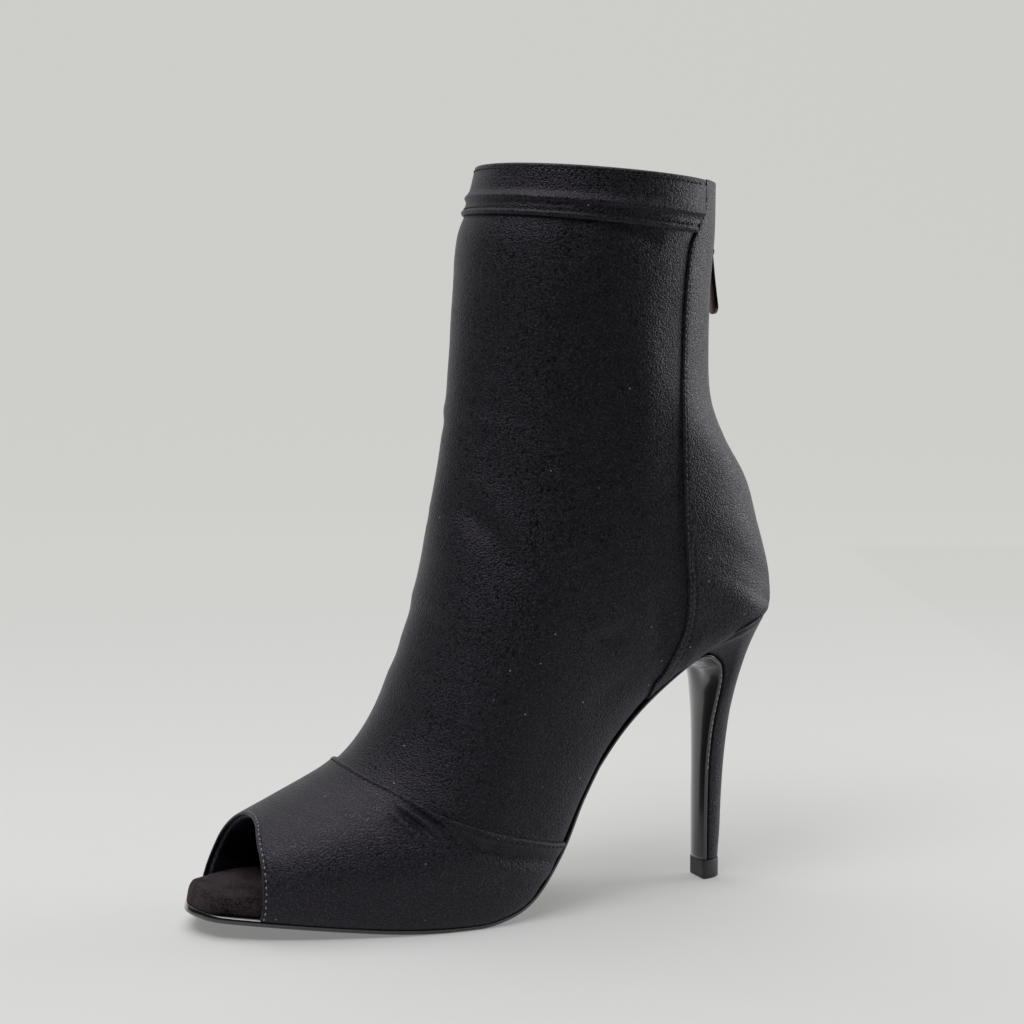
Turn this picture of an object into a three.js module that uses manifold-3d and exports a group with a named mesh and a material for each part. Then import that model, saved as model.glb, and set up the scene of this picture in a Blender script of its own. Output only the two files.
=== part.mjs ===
// Left ankle boot with an open toe, a tall thin heel and a zip up the back of its shaft.
// Millimetres. +X points to the toe, +Y to the outer side of the foot, +Z up, floor at z = 0.
// While it is worked out, x = 0 is the middle of the heel tip and y = 0 the middle of the heel.
import * as THREE from 'three';
import { mergeVertices } from 'three/addons/utils/BufferGeometryUtils.js';
import Module from 'manifold-3d';

const wasm = await Module();
wasm.setup();

// Driving sizes of the last
const FOOT_LENGTH = 216;      // back of the seat to the tip of the sole, along the floor
const HEEL_HEIGHT = 100;      // how far the seat stands above the tread of the forefoot
const INSTEP_HEIGHT = 62;     // sole to the top of the instep, over the seat
const SHAFT_HEIGHT = 91;      // top of the instep to the front of the collar
const BALL_WIDTH = 80;        // widest part of the forefoot
const ANKLE_WIDTH = 65;       // waist, heel and ankle
const SEAT_WIDTH = 49;        // bottom of the last over the heel
const SHAFT_DEPTH = 90;       // front to back of the shaft under the collar
const COLLAR_WIDTH = 74;      // side to side of the shaft at the collar
const BACK_STRIP = 4;         // flat strip up the back of the shaft, where the zip lies

// Thicknesses and clearances
const WALL = 1.8;             // upper: stretch fabric and its lining
const OVERLAY = 0.9;          // vamp, back panels and collar band, laid on the upper
const GAP = 0.3;              // between curved pieces that lie on each other
const LAP = 6;                // margin of the upper that is turned in under the foot
const CUT_MARGIN = 2;         // how far a cut runs past both faces of the upper
const OUTSOLE_THICKNESS = 2.5;
const WAIST_THICKNESS = 1.6;  // outsole where it is pared down under the waist
const INSOLE_THICKNESS = 3.2;
const SOLE_MARGIN = 0.8;      // edge of the outsole, outside the edge of the last's bottom
const INSOLE_INSET = 1.7;     // edge of the insole, inside the edge of the last's bottom
const BREAST_THICKNESS = 1.2; // outsole where it runs down the front of the heel
const COLLAR_BAND = 16.4;     // height of the collar band at the front
const BAND_SLOPE = 0.085;     // how much its lower edge drops for each millimetre towards the back

// Heel
const TIP_LENGTH = 8.4;       // rubber tip, front to back
const TIP_WIDTH = 11;
const TIP_HEIGHT = 7;
const TIP_BACK = 5.2;         // back of the tip behind its middle
const BREAST_REACH = 24;      // where the front of the heel runs out under the waist

// Zip
const ZIP_BOTTOM = 152;       // height of its lower end
const ZIP_TAPE_WIDTH = 7;
const ZIP_TAPE_THICKNESS = 1;
const ZIP_TAPE_SINK = 0.5;    // outer face of the tape under the face of the upper
const ZIP_TEETH_WIDTH = 3.8;
const ZIP_TEETH_THICKNESS = 2.2;   // tape and teeth together
const ZIP_PARTING = 3;        // width of the parting at the collar
const SLIDER_DROP = 12.9;     // top of the slider below the collar
const SLIDER_LENGTH = 11;
const SLIDER_WIDTH = 6.8;
const SLIDER_PLATE = 1.2;
const SLIDER_POST = 1.2;      // wedge that joins its two plates
const BAIL_WIDTH = 1.8;
const BAIL_WIRE = 0.9;
const BAIL_ROOT = 0.1;        // how deep the bail stands in the slider's plate
const BAIL_CLEARANCE = 0.65;
const BAIL_REACH = 1.2;       // from the slider's plate to the middle of the pull's bar
const BAIL_DROP = 3.4;        // middle of the bail below the middle of the slider
const PULL_LENGTH = 22.3;     // from its bar to its round end
const PULL_WIDTH = 6.5;
const PULL_NECK = 5.2;
const PULL_BAR = 1;
const PULL_THICKNESS = 1.1;
const PULL_TILT = 6;          // degrees that its tail stands off the shaft

// Fineness of the faceted surfaces
const SIDE_STEPS = 24;        // from the outer edge of the sole over the top to the inner edge
const LINING_STEPS = 20;      // the same, inside the upper
const SOLE_STEPS = 4;         // across the bottom of the last
const FINE_ROWS = [0, 1, 7, 8, 12, 13, 14, 15, 16, 18];   // table rows with a station after them too

// Colours
const FABRIC = new THREE.MeshStandardMaterial({ color: 0x1b1a1e, roughness: 0.62, metalness: 0 });
const BAND = new THREE.MeshStandardMaterial({ color: 0x1d1c21, roughness: 0.55, metalness: 0 });
const SUEDE = new THREE.MeshStandardMaterial({ color: 0x2b2422, roughness: 0.9, metalness: 0 });
const SOLE = new THREE.MeshStandardMaterial({ color: 0x2a2a2c, roughness: 0.3, metalness: 0 });
const RUBBER = new THREE.MeshStandardMaterial({ color: 0x232325, roughness: 0.7, metalness: 0 });
const TEETH = new THREE.MeshStandardMaterial({ color: 0x17171a, roughness: 0.5, metalness: 0 });
const METAL = new THREE.MeshStandardMaterial({ color: 0x57504c, roughness: 0.35, metalness: 1 });

// Heights above the seat: 1 is the top of the instep and 2 the front of the collar
function above(rise) {
  return rise <= 1 ? rise * INSTEP_HEIGHT : INSTEP_HEIGHT + (rise - 1) * SHAFT_HEIGHT;
}

const TREAD = OUTSOLE_THICKNESS + GAP;   // underside of the upper over the tread

// Sections of the last. Each one is a closed curve that stands on the line from a bottom point
// (or back point, in the shaft) to a top point (or front point) of the side view.
// x is a share of FOOT_LENGTH, lift a share of HEEL_HEIGHT, rises go through above(),
// outer and inner are the widest half-widths, edge ones those of the bottom,
// middle is how far up the line the section is widest, crown how square its top is.
const FOREFOOT = [   // widths are shares of BALL_WIDTH
  // topX topRise bottomX  lift   sway   outer  inner middle edgeOut edgeIn crown
  [0.870, 0.127, 0.8825, 0.068, -0.050, 0.045, 0.045, 0.42, 0.013, 0.013, 2.0],
  [0.852, 0.274, 0.8730, 0.062, -0.060, 0.150, 0.150, 0.40, 0.106, 0.106, 2.0],
  [0.822, 0.373, 0.8520, 0.056, -0.070, 0.231, 0.237, 0.37, 0.194, 0.194, 2.0],
  [0.778, 0.456, 0.7990, 0.049, -0.078, 0.313, 0.325, 0.36, 0.288, 0.306, 2.0],
  [0.729, 0.550, 0.7340, 0.036, -0.075, 0.375, 0.388, 0.35, 0.350, 0.369, 2.0],
  [0.681, 0.658, 0.6600, 0.019, -0.073, 0.425, 0.444, 0.33, 0.400, 0.425, 1.95],
  [0.641, 0.766, 0.5830, 0.004, -0.068, 0.463, 0.475, 0.32, 0.438, 0.456, 1.9],
  [0.609, 0.874, 0.5090, -0.002, -0.063, 0.481, 0.494, 0.32, 0.456, 0.469, 1.85],
  [0.581, 1.008, 0.4400, 0.002, -0.053, 0.479, 0.488, 0.33, 0.441, 0.454, 1.85],
  [0.556, 1.085, 0.3770, 0.050, -0.038, 0.456, 0.456, 0.36, 0.394, 0.400, 1.9],
]
const REAR = [       // widths are shares of ANKLE_WIDTH, edges of SEAT_WIDTH
  // topX topRise bottomX backRise lift   sway   outer  inner middle edgeOut edgeIn crown
  [0.533, 1.085,  0.322, 0,     0.190, -0.023, 0.531, 0.531, 0.40, 0.551, 0.541, 1.95],
  [0.514, 1.033,  0.276, 0,     0.377, -0.008, 0.515, 0.508, 0.44, 0.480, 0.470, 2.0],
  [0.500, 0.969,  0.221, 0,     0.560,  0,     0.508, 0.500, 0.48, 0.449, 0.439, 2.0],
  [0.489, 0.911,  0.139, 0,     0.732,  0,     0.500, 0.492, 0.50, 0.449, 0.439, 2.0],
  [0.477, 0.905,  0.039, 0,     0.873,  0,     0.492, 0.492, 0.52, 0.500, 0.500, 2.0],
  [0.467, 0.985, -0.045, 0,     0.953,  0,     0.492, 0.492, 0.52, 0.420, 0.420, 2.05],
  [0.460, 1.079, -0.081, 0,     0.982,  0,     0.497, 0.497, 0.52, 0.214, 0.214, 2.1],
  [0.456, 1.162, -0.096, 0.100, 0.980,  0,     0.500, 0.500, 0.52, 0.060, 0.060, 2.1],
  [0.453, 1.249, -0.091, 0.234, 0.980,  0,     0.505, 0.505, 0.52, 0.041, 0.041, 2.1],
]
const SHAFT = [      // middle in x, then depth as a share of SHAFT_DEPTH, widths of COLLAR_WIDTH
  // middleX depth frontRise backRise width middle crown
  [0.1884, 1.249, 1.348, 0.455, 0.446, 0.52, 2.1],
  [0.1984, 1.188, 1.436, 0.694, 0.450, 0.52, 2.1],
  [0.2174, 1.081, 1.519, 0.934, 0.457, 0.51, 2.1],
  [0.2296, 1.009, 1.596, 1.118, 0.464, 0.50, 2.1],
  [0.2315, 0.987, 1.678, 1.337, 0.473, 0.50, 2.1],
  [0.2266, 0.974, 1.771, 1.546, 0.484, 0.50, 2.1],
  [0.2137, 0.943, 1.876, 1.744, 0.484, 0.50, 2.1],
  [0.2060, 0.911, 2.000, 1.936, 0.482, 0.50, 2.1],
]
const SEAT_LIFT = 0.980;     // lift of the seat and all above it

// Every row in millimetres: top x z, bottom x z, sway, outer, inner, middle, edges, crown
const ROWS = [
  ...FOREFOOT.map(([topX, topRise, x, lift, sway, outer, inner, middle, edgeOut, edgeIn, crown]) => [
    topX * FOOT_LENGTH, TREAD + lift * HEEL_HEIGHT + above(topRise),
    x * FOOT_LENGTH, TREAD + lift * HEEL_HEIGHT,
    sway * BALL_WIDTH, outer * BALL_WIDTH, inner * BALL_WIDTH, middle,
    edgeOut * BALL_WIDTH, edgeIn * BALL_WIDTH, crown]),
  ...REAR.map(([topX, topRise, x, rise, lift, sway, outer, inner, middle, edgeOut, edgeIn, crown]) => [
    topX * FOOT_LENGTH, TREAD + lift * HEEL_HEIGHT + above(topRise),
    x * FOOT_LENGTH, TREAD + lift * HEEL_HEIGHT + above(rise),
    sway * ANKLE_WIDTH, outer * ANKLE_WIDTH, inner * ANKLE_WIDTH, middle,
    edgeOut * SEAT_WIDTH, edgeIn * SEAT_WIDTH, crown]),
  ...SHAFT.map(([middleX, depth, frontRise, backRise, width, middle, crown]) => [
    middleX * FOOT_LENGTH + depth * SHAFT_DEPTH / 2, TREAD + SEAT_LIFT * HEEL_HEIGHT + above(frontRise),
    middleX * FOOT_LENGTH - depth * SHAFT_DEPTH / 2, TREAD + SEAT_LIFT * HEEL_HEIGHT + above(backRise),
    0, width * COLLAR_WIDTH, width * COLLAR_WIDTH, middle, BACK_STRIP / 2, BACK_STRIP / 2, crown]),
];
const LAST_ROW = ROWS.length - 1;

// Catmull-Rom between the rows of a table, straight on past its ends
function between(rows, u) {
  const end = rows.length - 1;
  const i = Math.min(Math.max(Math.floor(u), 0), end - 1);
  const t = u - i;
  const b = rows[i];
  const c = rows[i + 1];
  if (t < 0 || t > 1) return b.map((value, k) => value + (c[k] - value) * t);
  const a = i > 0 ? rows[i - 1] : b.map((value, k) => 2 * value - c[k]);
  const d = i + 2 <= end ? rows[i + 2] : c.map((value, k) => 2 * value - b[k]);
  return b.map((value, k) => 0.5 * (2 * value + (c[k] - a[k]) * t
    + (2 * a[k] - 5 * value + 4 * c[k] - d[k]) * t * t
    + (3 * value - a[k] - 3 * c[k] + d[k]) * t * t * t));
}

// A point of the last: u counts table rows from the toe to the collar, and v goes from the outer
// edge of the sole (-1) over the top (0) to the inner edge (1)
function lastPoint(u, v) {
  const [topX, topZ, x, z, sway, outer, inner, middle, edgeOut, edgeIn, crown] = between(ROWS, u);
  const half = v < 0 ? outer : inner;
  const edge = v < 0 ? edgeOut : edgeIn;
  const turn = (0.5 - Math.abs(v)) * Math.PI;
  let y = edge + (half - edge) * Math.cos(turn);
  let h = middle * (1 + Math.sin(turn));
  if (turn >= 0) {
    y = half * Math.cos(turn) ** (2 / crown);
    h = middle + (1 - middle) * Math.sin(turn) ** (2 / crown);
  }
  return new THREE.Vector3(x + (topX - x) * h, sway + (v < 0 ? y : -y), z + (topZ - z) * h);
}

// Direction out of the bottom (or back) of the last
function bottomNormal(u) {
  const from = between(ROWS, u - 0.02);
  const to = between(ROWS, u + 0.02);
  return new THREE.Vector3(from[3] - to[3], 0, to[2] - from[2]).normalize();
}

function lastNormal(u, v) {
  if (Math.abs(v) > 0.999) return bottomNormal(u);
  const step = 0.01;
  const along = lastPoint(u + step, v).sub(lastPoint(u - step, v));
  const around = lastPoint(u, v + step).sub(lastPoint(u, v - step));
  return along.cross(around).normalize();
}

// A point off the last's surface, by the given distance outwards
function lastOffset(u, v, offset) {
  return lastPoint(u, v).addScaledVector(lastNormal(u, v), offset);
}

// A point of the last's bottom: share 0 is the outer edge and 1 the inner one
function bottomPoint(u, share, offset, inset = 0) {
  const row = between(ROWS, u);
  const outer = row[4] + row[8] - inset;
  const inner = row[4] - row[9] + inset;
  const point = new THREE.Vector3(row[2], outer + (inner - outer) * share, row[3]);
  return point.addScaledVector(bottomNormal(u), offset);
}

// A closed ring of the last, sides and bottom
function lastRing(u, offset, sides) {
  const ring = [];
  for (let i = 0; i <= sides; i += 1) ring.push(lastOffset(u, -1 + 2 * i / sides, offset));
  for (let i = 1; i < SOLE_STEPS; i += 1) ring.push(bottomPoint(u, 1 - i / SOLE_STEPS, offset));
  return ring;
}

// Numbers from one value to another in equal steps no longer than the given one
function steps(from, to, step) {
  const count = Math.max(1, Math.ceil((to - from) / step - 1e-6));
  return Array.from({ length: count + 1 }, (_, i) => from + (to - from) * i / count);
}

// Stations along the last that every piece shares, so that facets of neighbours lie parallel
const STATIONS = ROWS.flatMap((_, i) => (FINE_ROWS.includes(i) ? [i, i + 0.5] : [i]));

function stations(from, to) {
  return [from, ...STATIONS.filter((u) => u > from + 0.01 && u < to - 0.01), to];
}

// A closed body through rings of equally many points, with a fan over each end
function loft(rings) {
  const size = rings[0].length;
  const points = rings.flat();
  const index = [];
  for (let i = 0; i + 1 < rings.length; i += 1) {
    for (let j = 0; j < size; j += 1) {
      const a = i * size + j;
      const b = i * size + (j + 1) % size;
      index.push(a, b, b + size, a, b + size, a + size);
    }
  }
  for (const [ring, turned] of [[0, true], [rings.length - 1, false]]) {
    const middle = new THREE.Vector3();
    for (const point of rings[ring]) middle.addScaledVector(point, 1 / size);
    points.push(middle);
    for (let j = 0; j < size; j += 1) {
      const a = ring * size + j;
      const b = ring * size + (j + 1) % size;
      index.push(...(turned ? [points.length - 1, b, a] : [points.length - 1, a, b]));
    }
  }
  const geometry = new THREE.BufferGeometry().setFromPoints(points);
  geometry.setIndex(index);
  return solid(geometry);
}

// A manifold solid from a closed geometry, turned the right way out
function solid(geometry) {
  geometry.deleteAttribute('normal');
  geometry.deleteAttribute('uv');
  const merged = mergeVertices(geometry, 1e-4);
  const triangles = Uint32Array.from(merged.index.array);
  const places = Float32Array.from(merged.attributes.position.array);
  let volume = 0;
  const [a, b, c] = [new THREE.Vector3(), new THREE.Vector3(), new THREE.Vector3()];
  for (let i = 0; i < triangles.length; i += 3) {
    a.fromArray(places, 3 * triangles[i]);
    b.fromArray(places, 3 * triangles[i + 1]);
    c.fromArray(places, 3 * triangles[i + 2]);
    volume += a.dot(b.cross(c));
  }
  if (volume < 0) {
    for (let i = 0; i < triangles.length; i += 3) {
      [triangles[i], triangles[i + 1]] = [triangles[i + 1], triangles[i]];
    }
  }
  return new wasm.Manifold(new wasm.Mesh({ numProp: 3, vertProperties: places, triVerts: triangles }));
}

// The last's whole form, grown outwards by the given offset, between two stations
function form(offset, from = 0, to = LAST_ROW, sides = SIDE_STEPS) {
  return loft(stations(from, to).map((u) => lastRing(u, offset, sides)));
}

// A side-view outline, carried right through the boot from side to side
function sideCut(outline) {
  const width = 2 * BALL_WIDTH;
  const shape = new THREE.Shape(outline.map(([x, z]) => new THREE.Vector2(x, z)));
  const geometry = new THREE.ExtrudeGeometry(shape, { depth: width, bevelEnabled: false });
  geometry.rotateX(Math.PI / 2);
  geometry.translate(0, width / 2, 0);
  return solid(geometry);
}

function box(xMin, xMax, yMin, yMax, zMin, zMax) {
  const geometry = new THREE.BoxGeometry(xMax - xMin, yMax - yMin, zMax - zMin);
  geometry.translate((xMin + xMax) / 2, (yMin + yMax) / 2, (zMin + zMax) / 2);
  return solid(geometry);
}

// A cut can leave crumbs beside the piece
function largest(body) {
  return body.decompose().sort((a, b) => b.volume() - a.volume())[0];
}

function meshOf(name, body, material) {
  const { vertProperties, triVerts, numProp } = body.getMesh();
  const places = new Float32Array(vertProperties.length / numProp * 3);
  for (let i = 0; i < places.length / 3; i += 1) {
    for (let k = 0; k < 3; k += 1) places[3 * i + k] = vertProperties[numProp * i + k];
  }
  const geometry = new THREE.BufferGeometry();
  geometry.setAttribute('position', new THREE.BufferAttribute(places, 3));
  geometry.setIndex(new THREE.BufferAttribute(Uint32Array.from(triVerts), 1));
  geometry.computeVertexNormals();
  const mesh = new THREE.Mesh(geometry, material);
  mesh.name = name;
  return mesh;
}

// A ribbon along the bottom of the last: between two offsets, inset from the edges or past them
function ribbon(from, to, near, far, inset) {
  return loft(stations(from, to).map((u) => ribbonRing(u, near, far, inset)));
}

function ribbonRing(u, near, far, inset) {
  const ring = [];
  for (let i = 0; i <= SOLE_STEPS; i += 1) ring.push(bottomPoint(u, i / SOLE_STEPS, near, inset));
  for (let i = SOLE_STEPS; i >= 0; i -= 1) ring.push(bottomPoint(u, i / SOLE_STEPS, far, inset));
  return ring;
}

// Where along the table the bottom (or back) of the last reaches a place: column 2 is x, 3 is z
function stationAt(column, value, from, to) {
  let [low, high] = [from, to];
  const rising = between(ROWS, high)[column] > between(ROWS, low)[column];
  for (let i = 0; i < 40; i += 1) {
    const middle = (low + high) / 2;
    if ((between(ROWS, middle)[column] < value) === rising) low = middle;
    else high = middle;
  }
  return (low + high) / 2;
}

// The heel. Each section lies on a line from the back of the heel to its front, and these lines
// fan out from level ones at the tip to one along the seat. back and front are x shares of the
// seat's reach behind and of BREAST_REACH ahead, heights are shares of the way from the top of
// the tip to the seat, flares go from half the tip's width (0) to half the seat's (1), widest is
// where along the line.
const HEEL = [
  // backX backZ frontX frontZ flare widest frontFlare
  [0.270, 0.0000, 0.052, 0.0000, 0.000, 1.00, 0.000],
  [0.318, 0.1160, 0.054, 0.1160, 0.004, 1.00, 0.004],
  [0.344, 0.2453, 0.054, 0.2421, 0.014, 1.00, 0.014],
  [0.395, 0.3909, 0.046, 0.3801, 0.038, 1.00, 0.036],
  [0.480, 0.5472, 0.021, 0.5289, 0.130, 0.95, 0.125],
  [0.555, 0.6496, -0.004, 0.6281, 0.270, 0.88, 0.255],
  [0.630, 0.7391, -0.012, 0.7143, 0.430, 0.80, 0.390],
  [0.725, 0.8275, 0.054, 0.7812, 0.600, 0.72, 0.520],
  [0.845, 0.9051, 0.230, 0.8210, 0.760, 0.62, 0.640],
  [0.960, 0.9634, 0.460, 0.8372, 0.900, 0.55, 0.740],
  [1.040, 1.0086, 0.730, 0.8178, 1.000, 0.50, 0.820],
  [1.060, 1.0916, 0.900, 0.7995, 1.040, 0.45, 0.870],
];
const SEAT_HEIGHT = TREAD + SEAT_LIFT * HEEL_HEIGHT;
const SEAT_ROW = 6;           // row of the rear table where the seat turns up into the back
const SEAT_STATION = FOREFOOT.length + SEAT_ROW;
const SEAT_BACK = -ROWS[SEAT_STATION][2];
const HEEL_FOOT = TIP_HEIGHT + GAP;
const heelHeight = (share) => HEEL_FOOT + share * (SEAT_HEIGHT - HEEL_FOOT);
const HEEL_ROWS = HEEL.map(([backX, backZ, frontX, frontZ, flare, widest, frontFlare]) => [
  -backX * SEAT_BACK, heelHeight(backZ), frontX * BREAST_REACH, heelHeight(frontZ),
  (TIP_WIDTH + flare * (SEAT_WIDTH - TIP_WIDTH)) / 2, widest,
  (TIP_WIDTH + frontFlare * (SEAT_WIDTH - TIP_WIDTH)) / 2]);
const HEEL_LAST = HEEL_ROWS.length - 1;
const HEEL_STEP = 0.5;        // rows between its rings
const HEEL_STEPS = 20;        // sides of each ring
const BREAST_TURN = 6;        // heel row where the outsole is as thin as it gets
const BALL_ROW = 7;           // forefoot row on the floor, behind which the outsole is pared

// Half of a heel section's width at a share of the way from its back to its front
function heelHalf(row, share) {
  const [, , , , half, widest, frontHalf] = row;
  if (share < widest) return half * Math.sqrt(1 - (1 - share / widest) ** 2);
  return half + (frontHalf - half) * (share - widest) / Math.max(1 - widest, 1e-6);
}

// One D-shaped ring of the heel, grown outwards by the given margin
function heelRing(t, margin) {
  const row = between(HEEL_ROWS, t);
  const [backX, backZ, frontX, frontZ] = row;
  const ring = [];
  for (let i = 0; i <= HEEL_STEPS; i += 1) {
    const turn = (i / HEEL_STEPS - 0.5) * Math.PI;
    const share = 1 - Math.cos(turn);
    const half = heelHalf(row, share) + margin;
    const x = backX - margin + (frontX - backX + margin) * share;
    ring.push(new THREE.Vector3(x, half * Math.sign(turn), backZ + (frontZ - backZ) * share));
  }
  return ring;
}

function heelForm(margin) {
  return loft(steps(0, HEEL_LAST, HEEL_STEP).map((t) => heelRing(t, margin)));
}

// The outsole: under the last to the waist, then round and down the front of the heel
function outsoleSolid() {
  const rings = [];
  const waist = stationAt(2, BREAST_REACH, FOREFOOT.length, SEAT_STATION);
  for (const u of stations(0, waist)) {
    const pared = Math.min(1, Math.max(0, (u - BALL_ROW) / (FOREFOOT.length + 2 - BALL_ROW)));
    const thickness = OUTSOLE_THICKNESS + (WAIST_THICKNESS - OUTSOLE_THICKNESS) * pared;
    rings.push(ribbonRing(u, GAP, GAP + thickness, -SOLE_MARGIN));
  }
  for (const t of steps(0, HEEL_LAST - 1, HEEL_STEP).reverse()) {
    const row = between(HEEL_ROWS, t);
    const from = between(HEEL_ROWS, t + 0.05);
    const to = between(HEEL_ROWS, t - 0.05);
    const out = new THREE.Vector3(from[3] - to[3], 0, to[2] - from[2]).normalize();
    const taper = Math.min(1, Math.max(0, (t - BREAST_TURN) / (HEEL_LAST - BREAST_TURN)));
    const thickness = BREAST_THICKNESS + (WAIST_THICKNESS - BREAST_THICKNESS) * taper;
    const ring = [];
    for (const offset of [GAP, GAP + thickness]) {
      const side = offset === GAP ? 1 : -1;
      for (let i = 0; i <= SOLE_STEPS; i += 1) {
        const y = side * row[6] * (1 - 2 * i / SOLE_STEPS);
        ring.push(new THREE.Vector3(row[2], y, row[3]).addScaledVector(out, offset));
      }
    }
    rings.push(ring);
  }
  const floor = -HEEL_HEIGHT / 2;
  return loft(rings).subtract(box(-FOOT_LENGTH, FOOT_LENGTH, -BALL_WIDTH, BALL_WIDTH, floor, 0));
}

// The cut of the open toe, from the side: place at the middle of the foot and how far the cut
// runs back for each millimetre towards the outer side
const TOE_CUT = [
  // z (of INSTEP_HEIGHT)  x (of FOOT_LENGTH)  skew
  [-0.20, 0.8110, 0.220],
  [0.108, 0.8085, 0.190],
  [0.218, 0.8035, 0.150],
  [0.333, 0.7965, 0.080],
  [0.428, 0.7917, 0.038],
  [0.508, 0.7866, 0.000],
  [0.575, 0.7780, 0.000],
  [0.77, 0.7500, 0.000],
  [1.20, 0.7000, 0.000],
];
const TOE_CUT_STEP = 6;

function toeCut() {
  const reach = BALL_WIDTH / 2 + TOE_CUT_STEP;
  return loft(steps(-reach, reach, TOE_CUT_STEP).map((y) => {
    const ring = TOE_CUT.map(([z, x, skew]) =>
      new THREE.Vector3(x * FOOT_LENGTH - skew * y, y, z * INSTEP_HEIGHT));
    const [first, last] = [ring[0], ring[ring.length - 1]];
    ring.push(new THREE.Vector3(1.5 * FOOT_LENGTH, y, last.z));
    ring.push(new THREE.Vector3(1.5 * FOOT_LENGTH, y, first.z));
    return ring;
  }));
}

// Seams in the side view: x is a share of FOOT_LENGTH
const VAMP_SEAM = [   // z is a share of INSTEP_HEIGHT above the floor
  [0.700, 1.057], [0.659, 0.922], [0.621, 0.821], [0.579, 0.746], [0.528, 0.642],
  [0.468, 0.556], [0.400, 0.483], [0.331, 0.421], [0.250, 0.367],
];
const BACK_SEAM = [   // rise above the seat goes through above(), lift is a share of the seat's height
  [0.170, 0, 0.63], [0.157, 0, 0.757], [0.143, 0, 0.797], [0.123, 0, 0.883], [0.1115, 0, 0.953],
  [0.107, 0.09, 1], [0.113, 0.37, 1], [0.119, 0.648, 1], [0.1205, 0.923, 1], [0.1205, 1.12, 1],
  [0.1175, 1.31, 1], [0.1155, 1.52, 1], [0.1085, 1.69, 1], [0.0935, 1.77, 1], [0.0795, 1.84, 1],
  [0.0755, 1.94, 1], [0.0750, 2.1, 1],
];

// A seam's points as a smooth side-view curve
function seamCurve(points) {
  return new THREE.SplineCurve(points.map(([x, z]) => new THREE.Vector2(x, z)))
    .getPoints(2 * points.length).map((point) => [point.x, point.y]);
}

const vampSeam = seamCurve(VAMP_SEAM.map(([x, z]) => [x * FOOT_LENGTH, z * INSTEP_HEIGHT]));
const backSeam = seamCurve(BACK_SEAM.map(([x, rise, lift]) =>
  [x * FOOT_LENGTH, lift < 1 ? lift * SEAT_HEIGHT : SEAT_HEIGHT + above(rise)]));

// Pieces of the upper
const ankleTop = LAST_ROW + 0.5;
const outerForm = form(0);
const innerForm = form(-WALL, 0, ankleTop, LINING_STEPS);
const underOpening = ribbon(-1, SEAT_STATION - 1.2, -WALL - CUT_MARGIN, CUT_MARGIN, LAP);
const backEdge = -FOOT_LENGTH / 2;
const slotHalf = ZIP_TAPE_WIDTH / 2 + GAP;
const high = SEAT_HEIGHT + 2 * (INSTEP_HEIGHT + SHAFT_HEIGHT);
const zipSlot = box(backEdge, SHAFT_DEPTH / 4, -slotHalf, slotHalf, ZIP_BOTTOM - GAP, high);
const toe = toeCut();
const upper = outerForm.subtract(innerForm).subtract(underOpening).subtract(toe).subtract(zipSlot);

// The layers that lie on the upper are all cut from one shell, clear of sole and heel
const below = ribbon(-0.5, SEAT_STATION - 1, 0, 4 * OUTSOLE_THICKNESS, -LAP);
const shell = form(GAP + OVERLAY).subtract(form(GAP, 0, ankleTop)).subtract(below)
  .subtract(heelForm(2 * GAP)).subtract(toe).subtract(zipSlot);
const vampFront = sideCut([...vampSeam, [0, vampSeam.at(-1)[1]], [0, -HEEL_HEIGHT],
  [FOOT_LENGTH, -HEEL_HEIGHT], [FOOT_LENGTH, vampSeam[0][1]]]);
const behindSeam = sideCut([...backSeam, [backEdge, high], [backEdge, 0], [backSeam[0][0], 0]]);
const aheadOfSeam = sideCut([...backSeam.map(([x, z]) => [x + GAP, z]),
  [FOOT_LENGTH, high], [FOOT_LENGTH, 0]]);
const bandFront = SEAT_HEIGHT + INSTEP_HEIGHT + SHAFT_HEIGHT - COLLAR_BAND;
const bandRegion = sideCut([[backEdge, bandFront - BAND_SLOPE * (SHAFT_DEPTH - backEdge)],
  [FOOT_LENGTH, bandFront + BAND_SLOPE * (FOOT_LENGTH - SHAFT_DEPTH)], [FOOT_LENGTH, high],
  [backEdge, high]]);
const vamp = shell.intersect(vampFront);
const backPanels = shell.intersect(behindSeam);
const collarBand = shell.intersect(aheadOfSeam).intersect(bandRegion);
const outerHalf = box(backEdge, FOOT_LENGTH, GAP / 2, BALL_WIDTH, 0, high);
const innerHalf = box(backEdge, FOOT_LENGTH, -BALL_WIDTH, -GAP / 2, 0, high);

// Sole, insole and heel
const insole = ribbon(0.4, SEAT_STATION - 0.7, -WALL - GAP, -WALL - GAP - INSOLE_THICKNESS, INSOLE_INSET);
const seatCut = ribbon(FOREFOOT.length, SEAT_STATION - 0.9, GAP, -SEAT_WIDTH, -LAP);
const heel = largest(heelForm(0).subtract(form(GAP, FOREFOOT.length - 2, LAST_ROW)).subtract(seatCut));

function heelTipSolid() {
  const front = TIP_LENGTH - TIP_BACK;
  return loft([0, TIP_HEIGHT / 2, TIP_HEIGHT].map((z) => {
    const ring = [];
    for (let i = 0; i <= HEEL_STEPS; i += 1) {
      const turn = (i / HEEL_STEPS - 0.5) * Math.PI;
      ring.push(new THREE.Vector3(front - TIP_LENGTH * Math.cos(turn), TIP_WIDTH / 2 * Math.sin(turn), z));
    }
    return ring;
  }));
}

// The zip lies in its slot up the back: tape with raised teeth, parted above the slider
function backPlace(u, y, offset) {
  const row = between(ROWS, u);
  return new THREE.Vector3(row[2], y, row[3]).addScaledVector(bottomNormal(u), offset);
}

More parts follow.
